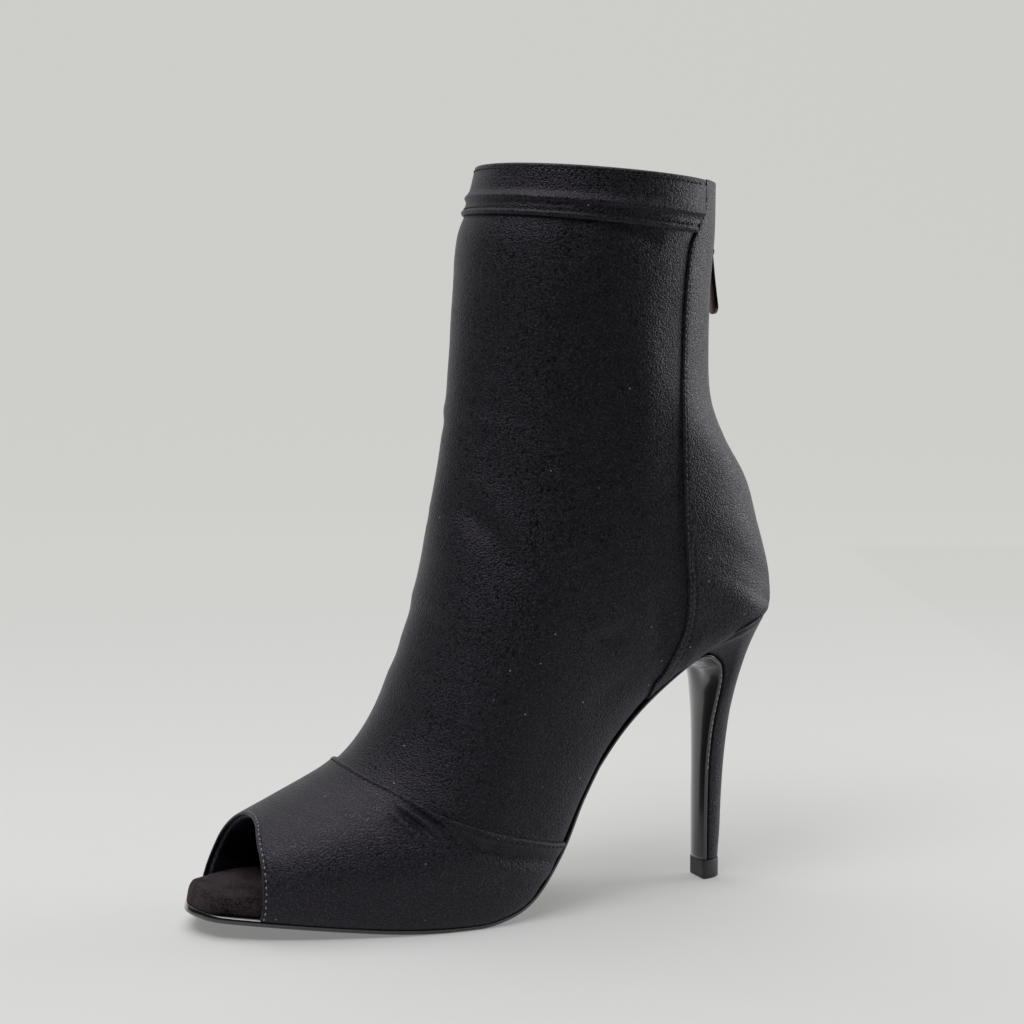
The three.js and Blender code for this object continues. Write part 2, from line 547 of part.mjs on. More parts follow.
// An outline seen from behind (y, z), carried through the back of the shaft
function backCut(outline) {
  const shape = new THREE.Shape(outline.map(([y, z]) => new THREE.Vector2(y, z)));
  const geometry = new THREE.ExtrudeGeometry(shape, { depth: SHAFT_DEPTH, bevelEnabled: false });
  geometry.applyMatrix4(new THREE.Matrix4().makeBasis(
    new THREE.Vector3(0, 1, 0), new THREE.Vector3(0, 0, 1), new THREE.Vector3(1, 0, 0)));
  geometry.translate(-SHAFT_DEPTH * 0.75, 0, 0);
  return solid(geometry);
}

const zipFrom = stationAt(3, ZIP_BOTTOM - ZIP_TAPE_WIDTH, SEAT_STATION, LAST_ROW);
const collarBackZ = ROWS[LAST_ROW][3];
const sliderZ = collarBackZ - SLIDER_DROP - SLIDER_LENGTH / 2;
const sliderAt = stationAt(3, sliderZ, SEAT_STATION, LAST_ROW);
const tapeFace = -ZIP_TAPE_SINK - ZIP_TAPE_THICKNESS;
const teethFace = tapeFace + ZIP_TEETH_THICKNESS;
const postZ = sliderZ + SLIDER_LENGTH / 2 - SLIDER_POST;

function zipSolid() {
  const [tape, teeth] = [ZIP_TAPE_WIDTH / 2, ZIP_TEETH_WIDTH / 2];
  const profile = [[-tape, tapeFace], [tape, tapeFace], [tape, -ZIP_TAPE_SINK], [teeth, -ZIP_TAPE_SINK],
    [teeth, teethFace], [-teeth, teethFace], [-teeth, -ZIP_TAPE_SINK], [-tape, -ZIP_TAPE_SINK]];
  const strip = loft(stations(zipFrom, LAST_ROW).map((u) => profile.map(([y, out]) => backPlace(u, y, out))));
  const [low, high] = [postZ - GAP, collarBackZ + SLIDER_LENGTH];
  const narrow = SLIDER_POST / 2 + GAP;
  const parting = backCut([[-narrow, low], [narrow, low], [ZIP_PARTING / 2, high], [-ZIP_PARTING / 2, high]]);
  const under = box(-FOOT_LENGTH, FOOT_LENGTH, -COLLAR_WIDTH, COLLAR_WIDTH, 0, ZIP_BOTTOM);
  return strip.subtract(parting).subtract(under);
}

// Axes at the slider: across the shaft, up it, and out of it
const sliderOut = bottomNormal(sliderAt);
const sliderUp = new THREE.Vector3(sliderOut.z, 0, -sliderOut.x);
const sliderPlace = backPlace(sliderAt, 0, 0);
const bailFoot = teethFace + GAP + SLIDER_PLATE;      // outer face of the slider's plate
const bailInside = PULL_BAR / 2 + BAIL_CLEARANCE;     // from the pivot to the inside of the bail
const bailOutside = bailInside + BAIL_WIRE;

// An outline across and up the shaft, standing out from one offset to another
function sliderPlate(outline, from, to) {
  const shape = new THREE.Shape(outline.map(([y, up]) => new THREE.Vector2(y, up)));
  const geometry = new THREE.ExtrudeGeometry(shape, { depth: to - from, bevelEnabled: false });
  geometry.translate(0, 0, from);
  geometry.applyMatrix4(new THREE.Matrix4().makeBasis(new THREE.Vector3(0, -1, 0), sliderUp, sliderOut));
  geometry.translate(...sliderPlace.toArray());
  return solid(geometry);
}

function sliderSolid() {
  const [half, end] = [SLIDER_WIDTH / 2, SLIDER_LENGTH / 2];
  const outline = [[-0.7 * half, -end], [0.7 * half, -end], [half, 0], [half, 0.8 * end], [0.75 * half, end],
    [-0.75 * half, end], [-half, 0.8 * end], [-half, 0]];
  const inside = tapeFace - GAP;
  const post = [[-SLIDER_POST / 2, end - SLIDER_POST], [SLIDER_POST / 2, end - SLIDER_POST],
    [SLIDER_POST / 2, end], [-SLIDER_POST / 2, end]];
  const arch = new THREE.Shape();
  arch.moveTo(-BAIL_ROOT, -bailOutside).lineTo(BAIL_REACH, -bailOutside);
  arch.absarc(BAIL_REACH, 0, bailOutside, -Math.PI / 2, Math.PI / 2, false);
  arch.lineTo(-BAIL_ROOT, bailOutside).lineTo(-BAIL_ROOT, bailInside).lineTo(BAIL_REACH, bailInside);
  arch.absarc(BAIL_REACH, 0, bailInside, Math.PI / 2, -Math.PI / 2, true);
  arch.lineTo(-BAIL_ROOT, -bailInside);
  const bail = new THREE.ExtrudeGeometry(arch, { depth: BAIL_WIDTH, bevelEnabled: false, curveSegments: 8 });
  bail.translate(bailFoot, -BAIL_DROP, -BAIL_WIDTH / 2);
  bail.applyMatrix4(new THREE.Matrix4().makeBasis(sliderOut, sliderUp, new THREE.Vector3(0, 1, 0)));
  bail.translate(...sliderPlace.toArray());
  return sliderPlate(outline, teethFace + GAP, bailFoot)
    .add(sliderPlate(outline, inside - SLIDER_PLATE, inside))
    .add(sliderPlate(post, inside - SLIDER_PLATE / 2, bailFoot - SLIDER_PLATE / 2))
    .add(solid(bail));
}

// The pull hangs down from its bar in the bail, with its tail standing off the shaft
const pivot = sliderPlace.clone().addScaledVector(sliderOut, bailFoot + BAIL_REACH)
  .addScaledVector(sliderUp, -BAIL_DROP);

function pullSolid() {
  const [neck, half, top] = [PULL_NECK / 2, PULL_WIDTH / 2, PULL_BAR / 2];
  const outline = new THREE.Shape();
  outline.moveTo(-neck, top).lineTo(neck, top).lineTo(neck, -0.25 * PULL_LENGTH);
  outline.quadraticCurveTo(neck, -0.5 * PULL_LENGTH, half, half - PULL_LENGTH);
  outline.absarc(0, half - PULL_LENGTH, half, 0, -Math.PI, true);
  outline.quadraticCurveTo(-neck, -0.5 * PULL_LENGTH, -neck, -0.25 * PULL_LENGTH);
  const opening = new THREE.Path();
  const side = BAIL_WIDTH / 2 + GAP;
  const far = -Math.hypot(bailOutside, bailOutside) - GAP;
  opening.moveTo(-side, -top).lineTo(-side, far).lineTo(side, far).lineTo(side, -top);
  outline.holes.push(opening);
  const geometry = new THREE.ExtrudeGeometry(outline, {
    depth: PULL_THICKNESS, bevelEnabled: false, curveSegments: 10 });
  geometry.translate(0, 0, -PULL_THICKNESS / 2);
  geometry.applyMatrix4(new THREE.Matrix4().makeBasis(
    new THREE.Vector3(0, 1, 0), new THREE.Vector3(0, 0, 1), new THREE.Vector3(1, 0, 0)));
  geometry.rotateY(PULL_TILT * Math.PI / 180);
  geometry.translate(...pivot.toArray());
  return solid(geometry);
}

const boot = new THREE.Group();
boot.add(meshOf('upper', upper, FABRIC));
boot.add(meshOf('vamp', vamp, FABRIC));
boot.add(meshOf('back_panel_outer', backPanels.intersect(outerHalf), FABRIC));
boot.add(meshOf('back_panel_inner', backPanels.intersect(innerHalf), FABRIC));
boot.add(meshOf('collar_band', collarBand, BAND));
boot.add(meshOf('insole', insole, SUEDE));
boot.add(meshOf('outsole', outsoleSolid(), SOLE));
boot.add(meshOf('heel', heel, FABRIC));
boot.add(meshOf('heel_tip', heelTipSolid(), RUBBER));
boot.add(meshOf('zip', zipSolid(), TEETH));
boot.add(meshOf('zip_slider', sliderSolid(), METAL));
boot.add(meshOf('zip_pull', pullSolid(), METAL));

// The boot's own origin is on the floor, under the middle of its length and width
const extent = new THREE.Box3().setFromObject(boot);
boot.position.set(-(extent.min.x + extent.max.x) / 2, -(extent.min.y + extent.max.y) / 2, 0);
export default boot;
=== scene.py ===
"""Left ankle boot with an open toe, a tall thin heel and a zip up the back.

Everything is drawn from one last, the form a boot is made over. The last is a table of sections,
and skin_point(u, path) gives a point of it: u counts the sections from the toe to the collar, and
path goes round the foot, -1 at the outer edge of the sole, 0 on top and 1 at the inner edge.
Cloth panels are patches of that skin with their own edges, lifted by creases, beads and stitches.

Working sizes are millimetres from the middle of the heel tip, with the floor at z = 0.
"""

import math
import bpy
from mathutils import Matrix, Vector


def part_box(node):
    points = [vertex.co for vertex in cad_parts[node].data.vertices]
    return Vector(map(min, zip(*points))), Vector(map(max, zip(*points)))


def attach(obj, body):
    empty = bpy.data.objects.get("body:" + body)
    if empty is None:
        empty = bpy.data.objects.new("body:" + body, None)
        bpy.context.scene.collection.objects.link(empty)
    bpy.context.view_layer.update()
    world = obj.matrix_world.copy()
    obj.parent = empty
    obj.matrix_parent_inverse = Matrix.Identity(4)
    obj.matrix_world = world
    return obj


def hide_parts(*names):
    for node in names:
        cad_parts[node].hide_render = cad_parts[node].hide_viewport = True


bl_info = {
    "name": "Open-toed ankle boot",
    "version": (1, 0, 0),
    "blender": (4, 5, 0),
    "location": "View3D > Sidebar > Boot",
    "description": "Dresses a packed ankle boot: cloth panels, stitches, sole, heel and zip",
    "category": "Add Mesh",
}

import bpy
import numpy as np
from bpy.props import FloatProperty, FloatVectorProperty, PointerProperty
from mathutils import Matrix

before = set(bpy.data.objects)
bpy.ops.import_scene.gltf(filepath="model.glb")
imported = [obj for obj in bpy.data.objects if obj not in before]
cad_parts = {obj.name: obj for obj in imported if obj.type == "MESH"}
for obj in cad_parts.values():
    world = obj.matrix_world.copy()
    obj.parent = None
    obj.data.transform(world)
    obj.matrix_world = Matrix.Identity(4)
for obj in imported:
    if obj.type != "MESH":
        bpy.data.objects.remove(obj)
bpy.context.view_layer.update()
MM = 0.001

# Driving sizes of the last, in millimetres
FOOT_LENGTH = 216
HEEL_HEIGHT = 100
INSTEP_HEIGHT = 62
SHAFT_HEIGHT = 91
BALL_WIDTH = 80
ANKLE_WIDTH = 65
SEAT_WIDTH = 49
SHAFT_DEPTH = 90
COLLAR_WIDTH = 74
BACK_STRIP = 4
BOOT_HEIGHT = 254

WALL = 1.8
GAP = 0.3
OUTSOLE_THICKNESS = 2.5
WAIST_THICKNESS = 1.6
BREAST_THICKNESS = 1.2
INSOLE_THICKNESS = 3.2
SOLE_MARGIN = 0.8
INSOLE_INSET = 1.5
LAP = 6
TIP_LENGTH = 8.4
TIP_WIDTH = 11
TIP_HEIGHT = 7
TIP_BACK = 5.2
BREAST_REACH = 24
ZIP_BOTTOM = 152
SLIDER_BOTTOM = 224
TREAD = OUTSOLE_THICKNESS + GAP
SEAT_LIFT = 0.980
SEAT_HEIGHT = TREAD + SEAT_LIFT * HEEL_HEIGHT

# Sections of the last, as in the part: shares of the sizes above
FOREFOOT = np.array([
    # topX topRise bottomX  lift   sway   outer  inner middle edgeOut edgeIn crown
    [0.870, 0.127, 0.8825, 0.068, -0.050, 0.045, 0.045, 0.42, 0.013, 0.013, 2.0],
    [0.852, 0.274, 0.8730, 0.062, -0.060, 0.150, 0.150, 0.40, 0.106, 0.106, 2.0],
    [0.822, 0.373, 0.8520, 0.056, -0.070, 0.231, 0.237, 0.37, 0.194, 0.194, 2.0],
    [0.778, 0.456, 0.7990, 0.049, -0.078, 0.313, 0.325, 0.36, 0.288, 0.306, 2.0],
    [0.729, 0.550, 0.7340, 0.036, -0.075, 0.375, 0.388, 0.35, 0.350, 0.369, 2.0],
    [0.681, 0.658, 0.6600, 0.019, -0.073, 0.425, 0.444, 0.33, 0.400, 0.425, 1.95],
    [0.641, 0.766, 0.5830, 0.004, -0.068, 0.463, 0.475, 0.32, 0.438, 0.456, 1.9],
    [0.609, 0.874, 0.5090, -0.002, -0.063, 0.481, 0.494, 0.32, 0.456, 0.469, 1.85],
    [0.581, 1.008, 0.4400, 0.002, -0.053, 0.479, 0.488, 0.33, 0.441, 0.454, 1.85],
    [0.556, 1.085, 0.3770, 0.050, -0.038, 0.456, 0.456, 0.36, 0.394, 0.400, 1.9],
])
REAR = np.array([
    # topX topRise bottomX backRise lift   sway   outer  inner middle edgeOut edgeIn crown
    [0.533, 1.085, 0.322, 0, 0.190, -0.023, 0.531, 0.531, 0.40, 0.551, 0.541, 1.95],
    [0.514, 1.033, 0.276, 0, 0.377, -0.008, 0.515, 0.508, 0.44, 0.480, 0.470, 2.0],
    [0.500, 0.969, 0.221, 0, 0.560, 0, 0.508, 0.500, 0.48, 0.449, 0.439, 2.0],
    [0.489, 0.911, 0.139, 0, 0.732, 0, 0.500, 0.492, 0.50, 0.449, 0.439, 2.0],
    [0.477, 0.905, 0.039, 0, 0.873, 0, 0.492, 0.492, 0.52, 0.500, 0.500, 2.0],
    [0.467, 0.985, -0.045, 0, 0.953, 0, 0.492, 0.492, 0.52, 0.420, 0.420, 2.05],
    [0.460, 1.079, -0.081, 0, 0.982, 0, 0.497, 0.497, 0.52, 0.214, 0.214, 2.1],
    [0.456, 1.162, -0.096, 0.100, 0.980, 0, 0.500, 0.500, 0.52, 0.060, 0.060, 2.1],
    [0.453, 1.249, -0.091, 0.234, 0.980, 0, 0.505, 0.505, 0.52, 0.041, 0.041, 2.1],
])
SHAFT = np.array([
    # middleX depth frontRise backRise width middle crown
    [0.1884, 1.249, 1.348, 0.455, 0.446, 0.52, 2.1],
    [0.1984, 1.188, 1.436, 0.694, 0.450, 0.52, 2.1],
    [0.2174, 1.081, 1.519, 0.934, 0.457, 0.51, 2.1],
    [0.2296, 1.009, 1.596, 1.118, 0.464, 0.50, 2.1],
    [0.2315, 0.987, 1.678, 1.337, 0.473, 0.50, 2.1],
    [0.2266, 0.974, 1.771, 1.546, 0.484, 0.50, 2.1],
    [0.2137, 0.943, 1.876, 1.744, 0.484, 0.50, 2.1],
    [0.2060, 0.911, 2.000, 1.936, 0.482, 0.50, 2.1],
])

# The heel: shares of its reach back and front, of the way from the top of the tip to the seat, and
# of the way from the tip's half-width to the seat's
HEEL = np.array([
    # backX backZ frontX frontZ flare widest frontFlare
    [0.270, 0.0000, 0.052, 0.0000, 0.000, 1.00, 0.000],
    [0.318, 0.1160, 0.054, 0.1160, 0.004, 1.00, 0.004],
    [0.344, 0.2453, 0.054, 0.2421, 0.014, 1.00, 0.014],
    [0.395, 0.3909, 0.046, 0.3801, 0.038, 1.00, 0.036],
    [0.480, 0.5472, 0.021, 0.5289, 0.130, 0.95, 0.125],
    [0.555, 0.6496, -0.004, 0.6281, 0.270, 0.88, 0.255],
    [0.630, 0.7391, -0.012, 0.7143, 0.430, 0.80, 0.390],
    [0.725, 0.8275, 0.054, 0.7812, 0.600, 0.72, 0.520],
    [0.845, 0.9051, 0.230, 0.8210, 0.760, 0.62, 0.640],
    [0.960, 0.9634, 0.460, 0.8372, 0.900, 0.55, 0.740],
    [1.040, 1.0086, 0.730, 0.8178, 1.000, 0.50, 0.820],
    [1.060, 1.0916, 0.900, 0.7995, 1.040, 0.45, 0.870],
])

# The cut of the open toe: height (share of the instep), place at mid foot, skew to the outer side
TOE_CUT = np.array([
    [-0.20, 0.8110, 0.220],
    [0.108, 0.8085, 0.190],
    [0.218, 0.8035, 0.150],
    [0.333, 0.7965, 0.080],
    [0.428, 0.7917, 0.038],
    [0.508, 0.7866, 0.000],
    [0.575, 0.7780, 0.000],
    [0.77, 0.7500, 0.000],
    [1.20, 0.7000, 0.000],
])
# Seams in the side view: x as a share of the foot's length, height as a share of the instep
VAMP_SEAM = np.array([
    [0.700, 1.057], [0.659, 0.922], [0.621, 0.821], [0.579, 0.746], [0.528, 0.642],
    [0.468, 0.556], [0.400, 0.483], [0.331, 0.421], [0.250, 0.367],
])
# x share, rise above the seat, share of the seat's height
BACK_SEAM = np.array([
    [0.170, 0, 0.63], [0.157, 0, 0.757], [0.143, 0, 0.797], [0.123, 0, 0.883], [0.1115, 0, 0.953],
    [0.107, 0.09, 1], [0.113, 0.37, 1], [0.119, 0.648, 1], [0.1205, 0.923, 1], [0.1205, 1.12, 1],
    [0.1175, 1.31, 1], [0.1155, 1.52, 1], [0.1085, 1.69, 1], [0.0935, 1.77, 1], [0.0795, 1.84, 1],
    [0.0755, 1.94, 1], [0.0750, 2.1, 1],
])
COLLAR_BAND = 16.4
BAND_SLOPE = 0.085


def above(rise):
    """Height over the seat for a rise: up to 1 it is a share of the instep, past 1 of the shaft."""
    return np.where(rise <= 1, rise * INSTEP_HEIGHT, INSTEP_HEIGHT + (rise - 1) * SHAFT_HEIGHT)


def section_rows():
    """All sections in mm, one row each: top x z, bottom x z, sway, half widths, middle, edges, crown."""
    fore = np.column_stack([
        FOREFOOT[:, 0] * FOOT_LENGTH,
        TREAD + FOREFOOT[:, 3] * HEEL_HEIGHT + above(FOREFOOT[:, 1]),
        FOREFOOT[:, 2] * FOOT_LENGTH,
        TREAD + FOREFOOT[:, 3] * HEEL_HEIGHT,
        FOREFOOT[:, 4:7] * BALL_WIDTH,
        FOREFOOT[:, 7],
        FOREFOOT[:, 8:10] * BALL_WIDTH,
        FOREFOOT[:, 10],
    ])
    rear = np.column_stack([
        REAR[:, 0] * FOOT_LENGTH,
        TREAD + REAR[:, 4] * HEEL_HEIGHT + above(REAR[:, 1]),
        REAR[:, 2] * FOOT_LENGTH,
        TREAD + REAR[:, 4] * HEEL_HEIGHT + above(REAR[:, 3]),
        REAR[:, 5:8] * ANKLE_WIDTH,
        REAR[:, 8],
        REAR[:, 9:11] * SEAT_WIDTH,
        REAR[:, 11],
    ])
    middle_x = SHAFT[:, 0] * FOOT_LENGTH
    reach = SHAFT[:, 1] * SHAFT_DEPTH / 2
    width = SHAFT[:, 4] * COLLAR_WIDTH
    strip = np.full(len(SHAFT), BACK_STRIP / 2)
    shaft = np.column_stack([
        middle_x + reach,
        SEAT_HEIGHT + above(SHAFT[:, 2]),
        middle_x - reach,
        SEAT_HEIGHT + above(SHAFT[:, 3]),
        np.zeros(len(SHAFT)), width, width, SHAFT[:, 5], strip, strip, SHAFT[:, 6],
    ])
    return np.vstack([fore, rear, shaft])


ROWS = section_rows()
LAST_ROW = len(ROWS) - 1
SEAT_ROW = len(FOREFOOT) + 6
SEAT_BACK = -ROWS[SEAT_ROW, 2]
HEEL_FOOT = TIP_HEIGHT + GAP
HEEL_ROWS = np.column_stack([
    -HEEL[:, 0] * SEAT_BACK,
    HEEL_FOOT + HEEL[:, 1] * (SEAT_HEIGHT - HEEL_FOOT),
    HEEL[:, 2] * BREAST_REACH,
    HEEL_FOOT + HEEL[:, 3] * (SEAT_HEIGHT - HEEL_FOOT),
    (TIP_WIDTH + HEEL[:, 4] * (SEAT_WIDTH - TIP_WIDTH)) / 2,
    HEEL[:, 5],
    (TIP_WIDTH + HEEL[:, 6] * (SEAT_WIDTH - TIP_WIDTH)) / 2,
])
HEEL_LAST = len(HEEL_ROWS) - 1

TIP_LOW = np.array(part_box("heel_tip")[0]) / MM
ORIGIN = TIP_LOW + [TIP_BACK, TIP_WIDTH / 2, 0]


# Mathematics of surfaces

def rows_at(table, u):
    """Rows of a table at any row number: Catmull-Rom between rows, straight on past both ends."""
    u = np.asarray(u, float)
    end = len(table) - 1
    whole = np.clip(np.floor(u).astype(int), 0, end - 1)
    t = (u - whole)[..., None]
    padded = np.vstack([2 * table[0] - table[1], table, 2 * table[-1] - table[-2]])
    a, b, c, d = (padded[whole + k] for k in range(4))
    curve = 0.5 * (2 * b + (c - a) * t + (2 * a - 5 * b + 4 * c - d) * t**2
                   + (3 * b - a - 3 * c + d) * t**3)
    return np.where((t < 0) | (t > 1), b + (c - b) * t, curve)


def smoothstep(low, high, x):
    """0 below low, 1 above high, and 3t^2 - 2t^3 between."""
    t = np.clip((x - low) / (high - low), 0, 1)
    return t * t * (3 - 2 * t)


def bell(x, middle, width):
    """Bell curve exp(-((x - middle) / width)^2)."""
    return np.exp(-((x - middle) / width) ** 2)


def unit(vectors):
    """The vectors at length 1."""
    return vectors / np.maximum(np.linalg.norm(vectors, axis=-1, keepdims=True), 1e-12)


def quarter_round(share):
    """Height of a quarter circle: 0 at share 0, and 1 from share 1 on."""
    return np.sqrt(1 - (1 - np.clip(share, 0, 1)) ** 2)


def crowded(count, crowd):
    """Numbers 0 to 1 that crowd towards both ends: t - crowd sin(2 pi t) / (2 pi)."""
    t = np.linspace(0, 1, count)
    return t - crowd * np.sin(2 * np.pi * t) / (2 * np.pi)


STRIP_UNIT = 10.0   # millimetres across the bottom or back for one unit of path past the edge
COUNTER_ROUND = 18  # radius of the counter, seen from above


def last_side(u, v):
    """Side of the last. Over its widest line a section is y = half cos(a)^(2/crown), and under it
    y = edge + (half - edge) cos(a), with a the angle up from the widest line."""
    top_x, top_z, x, z, sway, outer, inner, middle, edge_out, edge_in, crown = np.moveaxis(
        rows_at(ROWS, u), -1, 0)
    half = np.where(v < 0, outer, inner)
    edge = np.where(v < 0, edge_out, edge_in)
    turn = (0.5 - np.abs(v)) * np.pi
    up = np.maximum(turn, 0)
    down = np.minimum(turn, 0)
    over = turn >= 0
    y = np.where(over, half * np.maximum(np.cos(up), 0) ** (2 / crown),
                 edge + (half - edge) * np.cos(down))
    h = np.where(over, middle + (1 - middle) * np.sin(up) ** (2 / crown),
                 middle * (1 + np.sin(down)))
    side = np.where(v < 0, 1, -1)
    return np.stack([x + (top_x - x) * h, sway + side * y, z + (top_z - z) * h], -1)


def bottom_normal(u):
    """Direction out of the bottom or back of the last, square to its line in the side view."""
    behind = rows_at(ROWS, np.asarray(u) - 0.02)
    ahead = rows_at(ROWS, np.asarray(u) + 0.02)
    return unit(np.stack([behind[..., 3] - ahead[..., 3], np.zeros(behind.shape[:-1]),
                          ahead[..., 2] - behind[..., 2]], -1))


def skin_base(u, path):
    """Point of the last along a path that runs on past the edge across the bottom or back strip.
    The strip bows out over the counter by (edge^2 - y^2) / (2 radius)."""
    u, path = np.broadcast_arrays(np.asarray(u, float), np.asarray(path, float))
    side = last_side(u, np.clip(path, -1, 1))
    row = rows_at(ROWS, u)
    edge = np.where(path < 0, row[..., 8], row[..., 9])
    y = np.maximum(edge - (np.abs(path) - 1) * STRIP_UNIT, -0.5)
    bow = smoothstep(15.7, 16.4, u) * (edge**2 - np.minimum(np.abs(y), edge) ** 2) / (2 * COUNTER_ROUND)
    sign = np.where(path < 0, 1, -1)
    strip = np.stack([row[..., 2], row[..., 4] + sign * y, row[..., 3]], -1)
    strip = strip + bottom_normal(u) * bow[..., None]
    return np.where(np.abs(path)[..., None] > 1, strip, side)


def skin_point(u, path, lift=0.0):
    """Point of the skin, lifted along its normal, which is the cross product of its two slopes."""
    u, path = np.broadcast_arrays(np.asarray(u, float), np.asarray(path, float))
    step = 0.01
    along = skin_base(u + step, path) - skin_base(u - step, path)
    around = skin_base(u, path + step) - skin_base(u, path - step)
    normal = unit(np.cross(along, around))
    lift = np.broadcast_to(np.asarray(lift, float), u.shape)
    return skin_base(u, path) + normal * lift[..., None], normal


def bisect(test, low, high, turns=32):
    """Where test changes from negative at low to positive at high, for whole arrays at once."""
    low, high = np.broadcast_arrays(np.asarray(low, float), np.asarray(high, float))
    low, high = low.copy(), high.copy()
    for _ in range(turns):
        middle = (low + high) / 2
        below = test(middle) < 0
        low = np.where(below, middle, low)
        high = np.where(below, high, middle)
    return (low + high) / 2


def curve_table(table, key, count=400):
    """A table's smooth curve, sampled and sorted by one of its columns."""
    dense = rows_at(table, np.linspace(0, len(table) - 1, count))
    return dense[np.argsort(dense[:, key])]


TOE_CURVE = curve_table(TOE_CUT * [INSTEP_HEIGHT, FOOT_LENGTH, 1], 0)
VAMP_CURVE = curve_table(VAMP_SEAM * [FOOT_LENGTH, INSTEP_HEIGHT], 0)
BACK_CURVE = curve_table(np.column_stack([
    BACK_SEAM[:, 0] * FOOT_LENGTH,
    np.where(BACK_SEAM[:, 2] < 1, BACK_SEAM[:, 2] * SEAT_HEIGHT, SEAT_HEIGHT + above(BACK_SEAM[:, 1])),
]), 1)


def toe_row(path):
    """Row number where the open toe is cut, for each path round the foot."""
    def ahead(u):
        point = skin_base(u, path)
        cut = np.interp(point[..., 2], TOE_CURVE[:, 0], TOE_CURVE[:, 1])
        skew = np.interp(point[..., 2], TOE_CURVE[:, 0], TOE_CURVE[:, 2])
        return cut - skew * point[..., 1] - point[..., 0]
    return bisect(ahead, np.zeros_like(path), np.full_like(path, 8.0))


def vamp_row(path):
    """Row number of the seam between vamp and shaft, for each path round the foot."""
    def behind(u):
        point = skin_base(u, path)
        return point[..., 2] - np.interp(point[..., 0], VAMP_CURVE[:, 0], VAMP_CURVE[:, 1])
    return bisect(behind, np.full_like(path, 4.0), np.full_like(path, 12.5))


def seam_path(u, ahead=0.0):
    """Path share (0 to 1) of the back seam at each row, moved ahead by some millimetres."""
    def in_front(v):
        point = skin_base(u, -v)
        return np.interp(point[..., 2], BACK_CURVE[:, 1], BACK_CURVE[:, 0]) + ahead - point[..., 0]
    return bisect(in_front, np.full_like(u, 0.05), np.ones_like(u))


def band_row(path):
    """Row number of the lower edge of the collar band."""
    def over(u):
        point = skin_base(u, path)
        edge = SEAT_HEIGHT + INSTEP_HEIGHT + SHAFT_HEIGHT - COLLAR_BAND
        return point[..., 2] - edge - BAND_SLOPE * (point[..., 0] - SHAFT_DEPTH)
    return bisect(over, np.full_like(path, 21.0), np.full_like(path, 26.0))


def path_end(u, stop):
    """How far the path runs until it is `stop` millimetres from the middle of the bottom or back."""
    row = rows_at(ROWS, u)
    half, edge = row[..., 5], row[..., 8]
    share = np.clip((stop - edge) / np.maximum(half - edge, 1e-6), 0, 1)
    return np.where(stop > edge, 0.5 + np.arccos(share) / np.pi, 1 + (edge - stop) / STRIP_UNIT)


